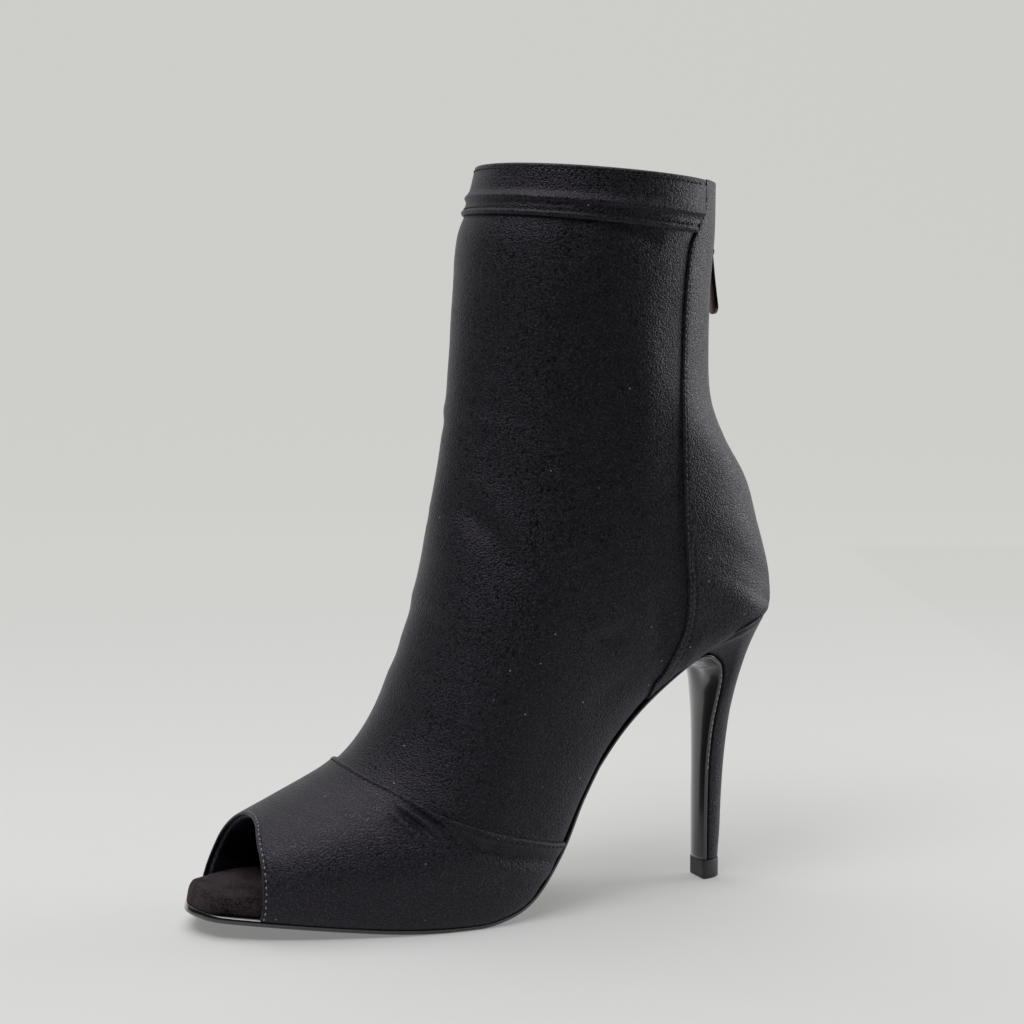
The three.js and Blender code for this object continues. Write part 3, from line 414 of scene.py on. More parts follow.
# Creases of the cloth. x is a share of the foot's length and z of the boot's
# height, for the two ends and the middle of each crease. Depth is in millimetres, and a ridge
# has a negative depth. side is 1 outer, -1 inner, 0 both.
CREASES = np.array([
    # side x1    z1     x2     z2     x3     z3    width depth
    # fan of wrinkles under the vamp's seam
    [1, 0.589, 0.162, 0.563, 0.149, 0.539, 0.124, 1.15, 0.95],
    [1, 0.583, 0.166, 0.550, 0.151, 0.522, 0.124, 1.05, -0.65],
    [1, 0.575, 0.169, 0.536, 0.151, 0.497, 0.118, 1.15, 1.00],
    [1, 0.562, 0.168, 0.524, 0.148, 0.484, 0.116, 1.05, -0.65],
    [1, 0.551, 0.164, 0.513, 0.143, 0.468, 0.111, 1.25, 0.95],
    [1, 0.540, 0.158, 0.500, 0.137, 0.450, 0.105, 1.00, -0.35],
    [1, 0.600, 0.156, 0.585, 0.137, 0.575, 0.114, 1.20, 0.42],
    [1, 0.596, 0.160, 0.575, 0.143, 0.556, 0.118, 0.95, -0.35],
    [1, 0.540, 0.150, 0.500, 0.128, 0.430, 0.104, 1.40, 0.45],
    # long soft folds towards the waist
    [1, 0.530, 0.138, 0.450, 0.116, 0.330, 0.096, 2.2, -0.70],
    [1, 0.520, 0.124, 0.430, 0.099, 0.320, 0.078, 2.8, 1.05],
    [1, 0.490, 0.100, 0.420, 0.072, 0.350, 0.060, 2.6, -0.40],
    [1, 0.470, 0.070, 0.400, 0.050, 0.330, 0.046, 2.8, 0.45],
    # front of the ankle
    [0, 0.462, 0.680, 0.444, 0.676, 0.424, 0.650, 2.2, -0.20],
    [0, 0.462, 0.664, 0.448, 0.652, 0.430, 0.624, 2.6, 0.32],
    [1, 0.478, 0.572, 0.430, 0.525, 0.385, 0.462, 5.0, 1.05],
    [1, 0.455, 0.585, 0.405, 0.530, 0.360, 0.470, 4.5, -0.45],
    [1, 0.430, 0.500, 0.400, 0.455, 0.372, 0.400, 4.0, 0.50],
    [0, 0.512, 0.436, 0.498, 0.424, 0.482, 0.402, 2.6, -0.15],
    [0, 0.515, 0.418, 0.502, 0.390, 0.486, 0.350, 3.2, 0.28],
    [0, 0.532, 0.362, 0.526, 0.342, 0.520, 0.322, 3.5, 0.20],
    [0, 0.545, 0.330, 0.530, 0.300, 0.500, 0.275, 4.0, -0.15],
    # dimples over the heel
    [1, 0.275, 0.397, 0.245, 0.388, 0.220, 0.392, 2.5, -0.40],
    [1, 0.285, 0.380, 0.250, 0.370, 0.215, 0.378, 3.0, 0.45],
    [1, 0.165, 0.440, 0.145, 0.390, 0.152, 0.340, 4.0, 0.70],
    [1, 0.290, 0.280, 0.240, 0.305, 0.185, 0.322, 4.0, 0.40],
    # back panel, towards the feather
    [1, 0.110, 0.372, 0.065, 0.386, 0.015, 0.416, 4.4, 0.22],
    [1, 0.108, 0.330, 0.092, 0.356, 0.062, 0.374, 2.6, -0.28],
    [1, 0.120, 0.312, 0.112, 0.332, 0.098, 0.350, 2.0, 0.30],
    # gathers under the collar band
    [1, 0.262, 0.928, 0.215, 0.905, 0.165, 0.898, 2.6, 0.70],
    [1, 0.320, 0.924, 0.310, 0.898, 0.300, 0.868, 2.8, 0.35],
    [1, 0.290, 0.924, 0.272, 0.895, 0.255, 0.860, 2.6, -0.30],
    # slow waves of the shaft
    [1, 0.275, 0.830, 0.262, 0.600, 0.285, 0.430, 9.0, 0.45],
    [1, 0.350, 0.860, 0.335, 0.700, 0.320, 0.560, 7.0, -0.30],
    [1, 0.190, 0.860, 0.185, 0.700, 0.190, 0.520, 6.0, -0.30],
    # inner side, the same kinds of crease
    [-1, 0.600, 0.166, 0.560, 0.148, 0.530, 0.124, 1.8, 0.50],
    [-1, 0.575, 0.172, 0.540, 0.150, 0.500, 0.122, 1.5, -0.35],
    [-1, 0.560, 0.166, 0.520, 0.146, 0.470, 0.116, 1.8, 0.50],
    [-1, 0.520, 0.124, 0.430, 0.100, 0.330, 0.080, 3.0, 0.65],
    [-1, 0.490, 0.098, 0.420, 0.072, 0.350, 0.060, 2.8, -0.40],
    [-1, 0.470, 0.545, 0.425, 0.500, 0.380, 0.450, 4.5, 0.85],
    [-1, 0.450, 0.590, 0.405, 0.550, 0.360, 0.500, 4.5, -0.40],
    [-1, 0.270, 0.400, 0.245, 0.385, 0.215, 0.390, 3.0, 0.45],
    [-1, 0.160, 0.440, 0.145, 0.390, 0.152, 0.345, 4.0, 0.60],
    [-1, 0.108, 0.370, 0.065, 0.388, 0.015, 0.418, 4.2, 0.22],
    [-1, 0.280, 0.926, 0.240, 0.900, 0.200, 0.880, 2.8, 0.45],
    [-1, 0.275, 0.820, 0.262, 0.600, 0.280, 0.450, 9.0, 0.40],
])
CREASE_STEPS = 12
WAVE_HEIGHT = 0.10  # of the slow unevenness of all cloth, in millimetres


def creases(point, path, strength):
    """Lift of the cloth at points of the skin: for each crease, -depth exp(-(d / width)^2) times
    sin(pi t)^0.6, with d the distance in the side view and t the way along the crease. Slow waves
    are added to it."""
    lift = np.zeros(path.shape)
    x, z = point[..., 0], point[..., 2]
    t = np.linspace(0, 1, CREASE_STEPS)[:, None]
    for side, x1, z1, x2, z2, x3, z3, width, depth in CREASES:
        ends = np.array([[x1, z1], [x2, z2], [x3, z3]]) * [FOOT_LENGTH, BOOT_HEIGHT]
        line = (1 - t) ** 2 * ends[0] + 2 * t * (1 - t) * ends[1] + t**2 * ends[2]
        best = np.full(path.shape, 1e9)
        where = np.zeros(path.shape)
        for k in range(CREASE_STEPS - 1):
            start, way = line[k], line[k + 1] - line[k]
            share = np.clip(((x - start[0]) * way[0] + (z - start[1]) * way[1]) / (way @ way), 0, 1)
            far = (x - start[0] - share * way[0]) ** 2 + (z - start[1] - share * way[1]) ** 2
            where = np.where(far < best, (k + share) / (CREASE_STEPS - 1), where)
            best = np.minimum(far, best)
        taper = np.sin(np.pi * np.clip(where, 0, 1)) ** 0.6
        fade = np.exp(-best / width**2) * taper
        if side:
            fade = fade * smoothstep(-0.03, 0.1, -side * path)
        lift -= depth * fade
    slow = np.sin(x / 11 + z / 17) * np.sin(z / 23 - x / 31 + 1.3)
    quick = np.sin(x / 7 - z / 9 + 0.7) * np.sin(z / 13 + 2.1)
    return strength * (lift + WAVE_HEIGHT * (slow + 0.6 * quick))


def distances(grid, axis):
    """Length along one axis of a grid of points, from its start."""
    legs = np.linalg.norm(np.diff(grid, axis=axis), axis=-1)
    start = np.zeros_like(np.take(legs, [0], axis))
    return np.concatenate([start, np.cumsum(legs, axis)], axis)


def sewn_edge(far, thickness, bead=0.14, stitch=2.1, dip=0.42):
    """Lift of a folded and stitched edge at a distance from it: a quarter round over the fold,
    a bead behind it and a trough where the stitches pull the cloth down."""
    round_off = quarter_round(far / 0.6)
    return (thickness * (round_off - 1) * 0.6 + bead * bell(far, 0.9, 0.55) * round_off
            - dip * bell(far, stitch, 0.5))


# Meshes

def mesh_object(name, points, faces, material, cloth=None):
    """A smooth mesh object from points in metres and lists of corners. cloth holds a UV pair in
    millimetres for each point, so that a pattern follows the surface."""
    mesh = bpy.data.meshes.new(name)
    mesh.from_pydata(points.tolist(), [], faces)
    if cloth is not None:
        layer = mesh.uv_layers.new(name="cloth")
        corners = np.empty(len(mesh.loops), np.int32)
        mesh.loops.foreach_get("vertex_index", corners)
        layer.data.foreach_set("uv", (cloth[corners] * MM).astype(np.float32).ravel())
    mesh.polygons.foreach_set("use_smooth", np.ones(len(mesh.polygons), bool))
    mesh.materials.append(material)
    thing = bpy.data.objects.new(name, mesh)
    bpy.context.scene.collection.objects.link(thing)
    return thing


def piece(name, points, faces, material, cloth=None):
    """A mesh object from points in working millimetres."""
    return mesh_object(name, (points + ORIGIN) * MM, faces, material, cloth)


def volume(points, faces):
    """Signed volume of a closed mesh of quads or triangles: the sum of a . (b x c) / 6."""
    total = 0.0
    for k in range(1, faces.shape[1] - 1):
        a, b, c = points[faces[:, 0]], points[faces[:, k]], points[faces[:, k + 1]]
        total += np.einsum("ij,ij->i", a, np.cross(b, c)).sum() / 6
    return total


def outwards(points, faces):
    """The faces, turned so that the closed mesh has a positive volume."""
    return faces if volume(points, faces) > 0 else faces[:, ::-1]


def grid_faces(rows, columns, start=0, closed=False):
    """Quads of a grid whose points are numbered row by row. closed joins its last column to its
    first."""
    r = np.arange(rows - 1)[:, None] * columns
    c = np.arange(columns if closed else columns - 1)[None, :]
    a = r + c
    b = r + (c + 1) % columns
    return (np.stack([a, b, b + columns, a + columns], -1) + start).reshape(-1, 4)


def rim_order(rows, columns):
    """Numbers of the points round a grid, in order."""
    top = np.arange(columns)
    right = np.arange(1, rows) * columns + columns - 1
    bottom = (rows - 1) * columns + np.arange(columns - 2, -1, -1)
    left = np.arange(rows - 2, 0, -1) * columns
    return np.concatenate([top, right, bottom, left])


RIM_STEPS = 3       # rings of points between the two faces of a wall
RIM_ROUNDNESS = 0.5


def wall(outer, inner, cloth):
    """A closed wall between two grids of points, with its rim rounded: between the two borders it
    bulges outwards by RIM_ROUNDNESS x thickness x sin(a). Returns points, faces and cloth pairs."""
    rows, columns = outer.shape[:2]
    count = rows * columns
    a, b = outer.reshape(-1, 3), inner.reshape(-1, 3)
    flat_cloth = cloth.reshape(-1, 2)
    order = rim_order(rows, columns)
    rim_rows, rim_columns = order // columns, order % columns
    inside = np.clip(rim_rows, 1, rows - 2) * columns + np.clip(rim_columns, 1, columns - 2)
    away = unit(a[order] - a[inside])
    thick = np.linalg.norm(a[order] - b[order], axis=1, keepdims=True)
    loops = []
    for k in range(1, RIM_STEPS + 1):
        turn = np.pi * k / (RIM_STEPS + 1)
        mix = (1 - math.cos(turn)) / 2
        bulge = away * thick * RIM_ROUNDNESS * math.sin(turn)
        loops.append(a[order] * (1 - mix) + b[order] * mix + bulge)
    points = np.vstack([a, b, *loops])
    pairs = np.vstack([flat_cloth, flat_cloth, *[flat_cloth[order]] * RIM_STEPS])
    faces = [grid_faces(rows, columns), grid_faces(rows, columns, count)[:, ::-1]]
    loop = np.arange(len(order))
    rings = [order, *(2 * count + k * len(order) + loop for k in range(RIM_STEPS)), order + count]
    for near, far in zip(rings, rings[1:]):
        faces.append(np.stack([near, far, np.roll(far, -1), np.roll(near, -1)], -1))
    return points, outwards(points, np.vstack(faces)).tolist(), pairs


def tube(rings, cloth=None):
    """A closed body through closed rings of points, with a fan of triangles over each end. Returns
    points, quads, triangles and cloth pairs."""
    rows, columns = rings.shape[:2]
    middles = rings[[0, -1]].mean(axis=1)
    points = np.vstack([rings.reshape(-1, 3), middles])
    quads = grid_faces(rows, columns, closed=True)
    around = np.arange(columns)
    following = (around + 1) % columns
    foot, head = np.full(columns, rows * columns), np.full(columns, rows * columns + 1)
    last = (rows - 1) * columns
    fans = np.vstack([np.stack([foot, following, around], -1),
                      np.stack([head, last + around, last + following], -1)])
    if volume(points, quads) + volume(points, fans) < 0:
        quads, fans = quads[:, ::-1], fans[:, ::-1]
    if cloth is None:
        cloth = np.zeros((rows, columns, 2))
    pairs = np.vstack([cloth.reshape(-1, 2), cloth[[0, -1]].mean(axis=1)])
    return points, quads, fans, pairs


def tube_piece(name, rings, material, cloth=None):
    """A closed tube as an object."""
    points, quads, fans, pairs = tube(rings, cloth)
    return piece(name, points, quads.tolist() + fans.tolist(), material, pairs)


def cloth_pairs(grid):
    """Cloth coordinates of a grid, in millimetres: length along its rows and along its columns."""
    return np.stack([distances(grid, 1), distances(grid, 0)], -1)


def repeated(points, faces, places, frames):
    """Copies of a small mesh at each place, turned by a 3 x 3 frame each. Returns joined arrays."""
    copies = np.einsum("kij,nj->kni", frames, points) + places[:, None, :]
    shift = np.arange(len(places))[:, None, None] * len(points)
    return copies.reshape(-1, 3), (faces[None] + shift).reshape(-1, faces.shape[1])


def corner_lists(faces):
    """Faces as lists of corners, with a doubled corner named once."""
    return [list(dict.fromkeys(face)) for face in faces.tolist()]


def capsule(length, radius, sides=6):
    """A rounded thread along x with closed ends: radius sin(a)^0.6 over the length cos(a) / 2. Its
    end triangles are quads with a doubled corner."""
    turn = np.linspace(0.12, np.pi - 0.12, 5)
    around = np.linspace(0, 2 * np.pi, sides, endpoint=False)
    x = -np.cos(turn)[:, None] * length / 2 + 0 * around
    r = radius * np.sin(turn)[:, None] ** 0.6
    ring = np.stack([x, r * np.cos(around), r * np.sin(around)], -1)
    points, quads, fans, _ = tube(ring)
    return points, np.vstack([quads, np.column_stack([fans, fans[:, 2]])])


def stitch_piece(name, line, normals, material, pitch, length, radius, rise=0.04):
    """A row of stitches along a line of points, each one laid square to the surface normals and
    raised a little above them."""
    way = distances(line[:, None, :], 0)[:, 0]
    total = way[-1]
    count = max(2, int(total / pitch))
    at = (np.arange(count) + 0.5) * total / count

    def on_line(values, where):
        return np.stack([np.interp(where, way, values[:, k]) for k in range(3)], -1)

    middle = on_line(line, at)
    up = unit(on_line(normals, at))
    along = unit(on_line(line, at + 0.4) - on_line(line, at - 0.4))
    across = unit(np.cross(up, along))
    up = np.cross(along, across)
    frames = np.stack([along, across, up], -1)
    points, faces = repeated(*capsule(length, radius), middle + up * rise, frames)
    return piece(name, points, corner_lists(faces), material)


# Materials

def feed(tree, socket, value):
    """Links another node's socket to a socket, or sets a constant on it."""
    if isinstance(value, bpy.types.NodeSocket):
        tree.links.new(value, socket)
    elif value is not None:
        socket.default_value = value


def add(tree, kind, **inputs):
    """A node with some of its sockets and properties set. A socket as a value is linked."""
    node = tree.nodes.new(kind)
    for name, value in inputs.items():
        socket = node.inputs.get(name.replace("_", " "))
        if socket is None:
            setattr(node, name, value)
        else:
            feed(tree, socket, value)
    return node


def noise(tree, place, scale, detail, roughness=0.5):
    """Fractal noise of a place, about 0 to 1."""
    return add(tree, "ShaderNodeTexNoise", Vector=place, Scale=scale, Detail=detail,
               Roughness=roughness).outputs[0]


def maths(tree, operation, first, second, third=None):
    """A Math node. Numbers and sockets may be mixed."""
    node = tree.nodes.new("ShaderNodeMath")
    node.operation = operation
    for socket, value in zip(node.inputs, (first, second, third)):
        feed(tree, socket, value)
    return node.outputs[0]


def mixed(tree, share, first, second):
    """A colour between two colours or sockets. In a Mix node for colours these are sockets 6 and 7."""
    node = tree.nodes.new("ShaderNodeMix")
    node.data_type = "RGBA"
    for number, value in ((0, share), (6, first), (7, second)):
        feed(tree, node.inputs[number], value)
    return node.outputs[2]


def ranged(tree, value, from_low, from_high, to_low, to_high):
    """A value carried from one range to another, held inside it."""
    node = add(tree, "ShaderNodeMapRange", Value=value)
    node.inputs["From Min"].default_value = from_low
    node.inputs["From Max"].default_value = from_high
    node.inputs["To Min"].default_value = to_low
    node.inputs["To Max"].default_value = to_high
    return node.outputs[0]


def shade(colour, factor):
    """A colour made lighter or darker, with its alpha."""
    return tuple(factor * part for part in colour) + (1,)


def new_material(name):
    """An empty node material: its tree and its surface shader."""
    material = bpy.data.materials.new(name)
    material.use_nodes = True
    tree = material.node_tree
    shader = tree.nodes["Principled BSDF"]
    return material, tree, shader


# Patterns of the cloth, as cells per metre, and the colours of its bright specks and its lint
THREAD_SCALE = 1450.0
GRAIN_SCALE = 1750.0
SLUB_SCALE = 170.0
LINT_SCALE = 190.0
SPECK_COLOUR = (0.052, 0.048, 0.064, 1)
LINT_COLOUR = (0.30, 0.30, 0.32, 1)


def cloth_material(name, colour, rough=0.45, sheen=0.16, lint=1.0):
    """Satin. Threads and grains are noise of about a thread's width, which makes lighter and darker
    dashes and some bright specks; slubs are slower noise that follows the cloth; lint is a few cells
    of a Voronoi net."""
    material, tree, shader = new_material(name)
    uv = add(tree, "ShaderNodeUVMap", uv_map="cloth").outputs[0]
    place = add(tree, "ShaderNodeTexCoord").outputs["Object"]
    drawn = add(tree, "ShaderNodeMapping", Vector=place, Scale=(0.8, 0.8, 1.25)).outputs[0]
    threads = noise(tree, drawn, THREAD_SCALE, 1.0)
    grains = noise(tree, place, GRAIN_SCALE, 1.0)
    slubs = noise(tree, uv, SLUB_SCALE, 3.0, 0.55)
    weave = ranged(tree, maths(tree, "MULTIPLY_ADD", grains, 0.7, threads), 0.70, 1.00, 0.0, 1.0)
    tone = mixed(tree, weave, shade(colour, 0.30), shade(colour, 2.5))
    bright = ranged(tree, grains, 0.58, 0.70, 0.0, 1.0)
    tone = mixed(tree, maths(tree, "MULTIPLY", bright, 0.6), tone, SPECK_COLOUR)
    cells = add(tree, "ShaderNodeTexVoronoi", Vector=place, Scale=LINT_SCALE)
    chosen = add(tree, "ShaderNodeSeparateColor", Color=cells.outputs["Color"])
    speck = maths(tree, "MULTIPLY", maths(tree, "LESS_THAN", cells.outputs["Distance"], 0.055),
                  maths(tree, "GREATER_THAN", chosen.outputs[0], 0.72))
    tone = mixed(tree, maths(tree, "MULTIPLY", speck, 0.8 * lint), tone, LINT_COLOUR)
    tree.links.new(tone, shader.inputs["Base Color"])
    roughness = maths(tree, "MULTIPLY_ADD", maths(tree, "SUBTRACT", threads, 0.5), 0.4, rough)
    roughness = maths(tree, "MULTIPLY_ADD", maths(tree, "SUBTRACT", slubs, 0.5), 0.15, roughness)
    tree.links.new(roughness, shader.inputs["Roughness"])
    shader.inputs["Sheen Weight"].default_value = sheen
    shader.inputs["Sheen Roughness"].default_value = 0.35
    shader.inputs["Sheen Tint"].default_value = (0.76, 0.74, 0.92, 1)
    shader.inputs["Specular IOR Level"].default_value = 0.36
    shader.inputs["Specular Tint"].default_value = (0.92, 0.86, 1.0, 1)
    height = maths(tree, "MULTIPLY_ADD", slubs, 0.5, weave)
    bump = add(tree, "ShaderNodeBump", Height=height, Strength=0.6, Distance=0.22 * MM)
    tree.links.new(bump.outputs[0], shader.inputs["Normal"])
    return material


def plain_material(name, colour, rough, metallic=0.0, coat=0.0, scale=900.0, bump=0.15, vary=0.1,
                   spread=0.35):
    """A surface of one colour that noise makes uneven in tone, roughness and height."""
    material, tree, shader = new_material(name)
    place = add(tree, "ShaderNodeTexCoord").outputs["Object"]
    fine = noise(tree, place, scale, 4.0, 0.6)
    broad = noise(tree, place, scale / 12, 2.0)
    tone = mixed(tree, ranged(tree, fine, 0.3, 0.7, 0.0, 1.0), shade(colour, 1 - spread),
                 shade(colour, 1 + spread))
    tree.links.new(tone, shader.inputs["Base Color"])
    uneven = maths(tree, "MULTIPLY_ADD", maths(tree, "SUBTRACT", broad, 0.5), vary * 2, rough)
    tree.links.new(uneven, shader.inputs["Roughness"])
    shader.inputs["Metallic"].default_value = metallic
    shader.inputs["Coat Weight"].default_value = coat
    shader.inputs["Coat Roughness"].default_value = 0.12
    uneven_normal = add(tree, "ShaderNodeBump", Height=fine, Strength=bump, Distance=0.1 * MM)
    tree.links.new(uneven_normal.outputs[0], shader.inputs["Normal"])
    return material


def suede_material(name, colour):
    """Napped sock lining: mottled brown-black and rough, with a faint sheen."""
    material, tree, shader = new_material(name)
    place = add(tree, "ShaderNodeTexCoord").outputs["Object"]
    nap = noise(tree, place, 1500.0, 5.0, 0.7)
    patches = noise(tree, place, 110.0, 3.0)
    share = ranged(tree, maths(tree, "MULTIPLY_ADD", patches, 0.6, nap), 0.62, 1.0, 0.0, 1.0)
    tone = mixed(tree, share, shade(colour, 0.05), shade(colour, 4.2))
    tree.links.new(tone, shader.inputs["Base Color"])
    shader.inputs["Roughness"].default_value = 0.92
    shader.inputs["Specular IOR Level"].default_value = 0.1
    shader.inputs["Sheen Weight"].default_value = 0.06
    shader.inputs["Sheen Roughness"].default_value = 0.5
    shader.inputs["Sheen Tint"].default_value = (0.8, 0.62, 0.55, 1)
    bump = add(tree, "ShaderNodeBump", Height=nap, Strength=0.8, Distance=0.3 * MM)
    tree.links.new(bump.outputs[0], shader.inputs["Normal"])
    return material


# Settings

class ClothSettings(bpy.types.PropertyGroup):
    """Sizes and colours of the cloth panels."""

    wall: FloatProperty(name="Wall", description="Thickness of shaft cloth and lining together",
                        default=WALL * MM, min=0.0005, subtype="DISTANCE")
    overlay: FloatProperty(name="Overlay", description="How far vamp, back panels and band stand proud",
                           default=1.0 * MM, min=0.0004, subtype="DISTANCE")
    crease: FloatProperty(name="Creases", description="Strength of the creases placed by hand",
                          default=1.45, min=0.0, max=3.0, subtype="FACTOR")
    shaft_colour: FloatVectorProperty(name="Shaft colour", description="Stretch satin of the shaft",
                                      default=(0.0052, 0.0047, 0.0066), subtype="COLOR", size=3)
    panel_colour: FloatVectorProperty(name="Panel colour", description="Satin of vamp and back panels",
                                      default=(0.0062, 0.0056, 0.0078), subtype="COLOR", size=3)
    band_colour: FloatVectorProperty(name="Band colour", description="Satin of the collar band",
                                     default=(0.0066, 0.0060, 0.0082), subtype="COLOR", size=3)
    lining_colour: FloatVectorProperty(name="Lining colour", description="Lining of the shaft",
                                       default=(0.006, 0.006, 0.007), subtype="COLOR", size=3)


class StitchSettings(bpy.types.PropertyGroup):
    """Sizes of the stitches."""

    pitch: FloatProperty(name="Pitch", description="From one stitch to the next",
                         default=0.0022, min=0.001, subtype="DISTANCE")
    length: FloatProperty(name="Length", description="Length of one stitch",
                          default=0.0014, min=0.0005, subtype="DISTANCE")
    inset: FloatProperty(name="Inset", description="From the edge of a panel to its stitches",
                         default=1.5 * MM, min=0.0005, subtype="DISTANCE")
    # This light grey is a painted highlight on the black thread, so the stitches at the open toe read as
    # bright dots
    colour: FloatVectorProperty(name="Thread colour", description="Thread that catches the light",
                                default=(0.30, 0.295, 0.315), subtype="COLOR", size=3)
    # Thread of the back panels: the black thread lightened a little, as a dimmer painted highlight
    dim_highlight_colour: FloatVectorProperty(name="Dull thread", description="Thread of the back panels",
                                     default=(0.050, 0.048, 0.057), subtype="COLOR", size=3)
    # Black thread, darker than the satin: its rows also paint the shaded line along the vamp seam and
    # the band's edges
    black_and_shade_colour: FloatVectorProperty(name="Dark thread", description="Thread of vamp seam and band",
                                     default=(0.002, 0.002, 0.0025), subtype="COLOR", size=3)


class SoleSettings(bpy.types.PropertyGroup):
    """Sizes and colours of insole, outsole and heel."""

    sock_colour: FloatVectorProperty(name="Sock colour", description="Napped sock on the insole",
                                     default=(0.0135, 0.0105, 0.012), subtype="COLOR", size=3)
    sole_colour: FloatVectorProperty(name="Sole colour", description="Polished edge of the outsole",
                                     default=(0.009, 0.009, 0.0105), subtype="COLOR", size=3)
    tip_colour: FloatVectorProperty(name="Tip colour", description="Rubber of the heel tip",
                                    default=(0.030, 0.030, 0.033), subtype="COLOR", size=3)
    # A cord over the heel's top, lightened grey as a painted highlight along that polished edge
    feather_highlight_colour: FloatVectorProperty(name="Feather colour", description="Bead over the heel's top",
                                        default=(0.070, 0.068, 0.076), subtype="COLOR", size=3)
    glue_colour: FloatVectorProperty(name="Glue colour", description="Dried glue along the feather",
                                     default=(0.45, 0.45, 0.46), subtype="COLOR", size=3)
    glue_width: FloatProperty(name="Glue", description="Width of the line of glue at the feather",
                              default=0.5 * MM, min=0.0001, subtype="DISTANCE")


class ZipSettings(bpy.types.PropertyGroup):
    """Sizes and colours of the zip."""

    tooth_pitch: FloatProperty(name="Tooth pitch", description="From one tooth of a side to the next",
                               default=1.25 * MM, min=0.0005, subtype="DISTANCE")
    metal_colour: FloatVectorProperty(name="Metal colour", description="Plating of slider and pull",
                                      default=(0.10, 0.066, 0.052), subtype="COLOR", size=3)


class StageSettings(bpy.types.PropertyGroup):
    """Light, floor and camera."""

    top_power: FloatProperty(name="Top light", description="Power of the large light overhead",
                             default=40.0, min=0.0, subtype="POWER")
    key_power: FloatProperty(name="Left light", description="Power of the light at the toe's side",
                             default=8.0, min=0.0, subtype="POWER")
    edge_power: FloatProperty(name="Edge light", description="Power of the light behind the toe's side",
                              default=0.8, min=0.0, subtype="POWER")
    rim_power: FloatProperty(name="Right light", description="Power of the light at the heel's side",
                             default=7.5, min=0.0, subtype="POWER")
    world_strength: FloatProperty(name="Surroundings", description="Strength of the even light",
                                  default=0.012, min=0.0)
    floor_colour: FloatVectorProperty(name="Floor colour", description="Pale sweep under the boot",
                                      default=(0.50, 0.50, 0.497), subtype="COLOR", size=3)
    wall_tone: FloatProperty(name="Wall tone", description="Brightness of the sweep behind the boot",
                             default=0.60, min=0.0)
    floor_glow: FloatProperty(name="Floor glow", description="Light that comes through the sweep",
                              default=0.2, min=0.0)
    focal: FloatProperty(name="Focal length", description="Of the camera, for a 36 mm sensor",
                         default=74.66, min=10.0, subtype="DISTANCE_CAMERA")


# Pieces

TOE_INSET = 1.2     # from the edge of the open toe to its stitches
SHAFT_GRID = (236, 200)
VAMP_GRID = (150, 190)
PANEL_GRID = (260, 72)
BAND_GRID = (110, 180)
UNDERSIDE = 0.3     # how far the back of a panel stands off the shaft's cloth


def cloth_grid(u, path, lift, strength):
    """A grid of cloth: the skin at (u, path), lifted by its thickness and by the creases."""
    base, normal = skin_point(u, path)
    total = lift + creases(base, path, strength)
    return base + normal * total[..., None], normal


class BOOT_OT_shaft(bpy.types.Operator):
    """Shaft of stretch satin with its lining, from the open toe to the collar"""

    bl_idname = "boot.shaft"
    bl_label = "Shaft"

    def execute(self, context):
        cloth = context.scene.boot_cloth
        share = np.linspace(-1, 1, SHAFT_GRID[1])
        toe = toe_row(share) + 0.10
        rows = np.linspace(0, 1, SHAFT_GRID[0])[:, None]
        u = toe + (LAST_ROW - 0.04 - toe) * rows
        sole_stop = rows_at(ROWS, u)[..., 8] - LAP
        stop = np.maximum(sole_stop, 0.2)
        stop = stop + (6.5 - stop) * smoothstep(16.0, 17.0, u)
        path = share * (1 + (path_end(u, stop) - 1) * np.abs(share) ** 6)
        outer, _ = cloth_grid(u, path, 0.0, cloth.crease)
        inner, _ = cloth_grid(u, path, -cloth.wall / MM, cloth.crease * 0.7)
        points, faces, pairs = wall(outer, inner, cloth_pairs(outer))
        satin = cloth_material("shaft_satin", cloth.shaft_colour)
        lining = cloth_material("lining_satin", cloth.lining_colour, rough=0.7, sheen=0.05, lint=0.2)
        shaft = piece("shaft_cloth", points, faces, satin, pairs)
        shaft.data.materials.append(lining)
        inside = np.zeros(len(shaft.data.polygons), np.int32)
        side = (outer.shape[0] - 1) * (outer.shape[1] - 1)
        inside[side:2 * side] = 1
        shaft.data.polygons.foreach_set("material_index", inside)
        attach(shaft, "boot")
        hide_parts("upper")
        return {"FINISHED"}


def panel_stop(u):
    """How near the middle of the back a panel ends: under the feather at the sole, nearly shut
    under the zip, and clear of teeth and slider beside it."""
    row = rows_at(ROWS, u)
    back_z = row[..., 3]
    beside = 0.12 + 2.6 * smoothstep(ZIP_BOTTOM - 3, ZIP_BOTTOM + 4, back_z)
    beside = beside + 1.1 * smoothstep(SLIDER_BOTTOM - 22, SLIDER_BOTTOM - 8, back_z)
    low = row[..., 8] - 0.6
    return low + (beside - low) * smoothstep(15.9, 16.9, u)


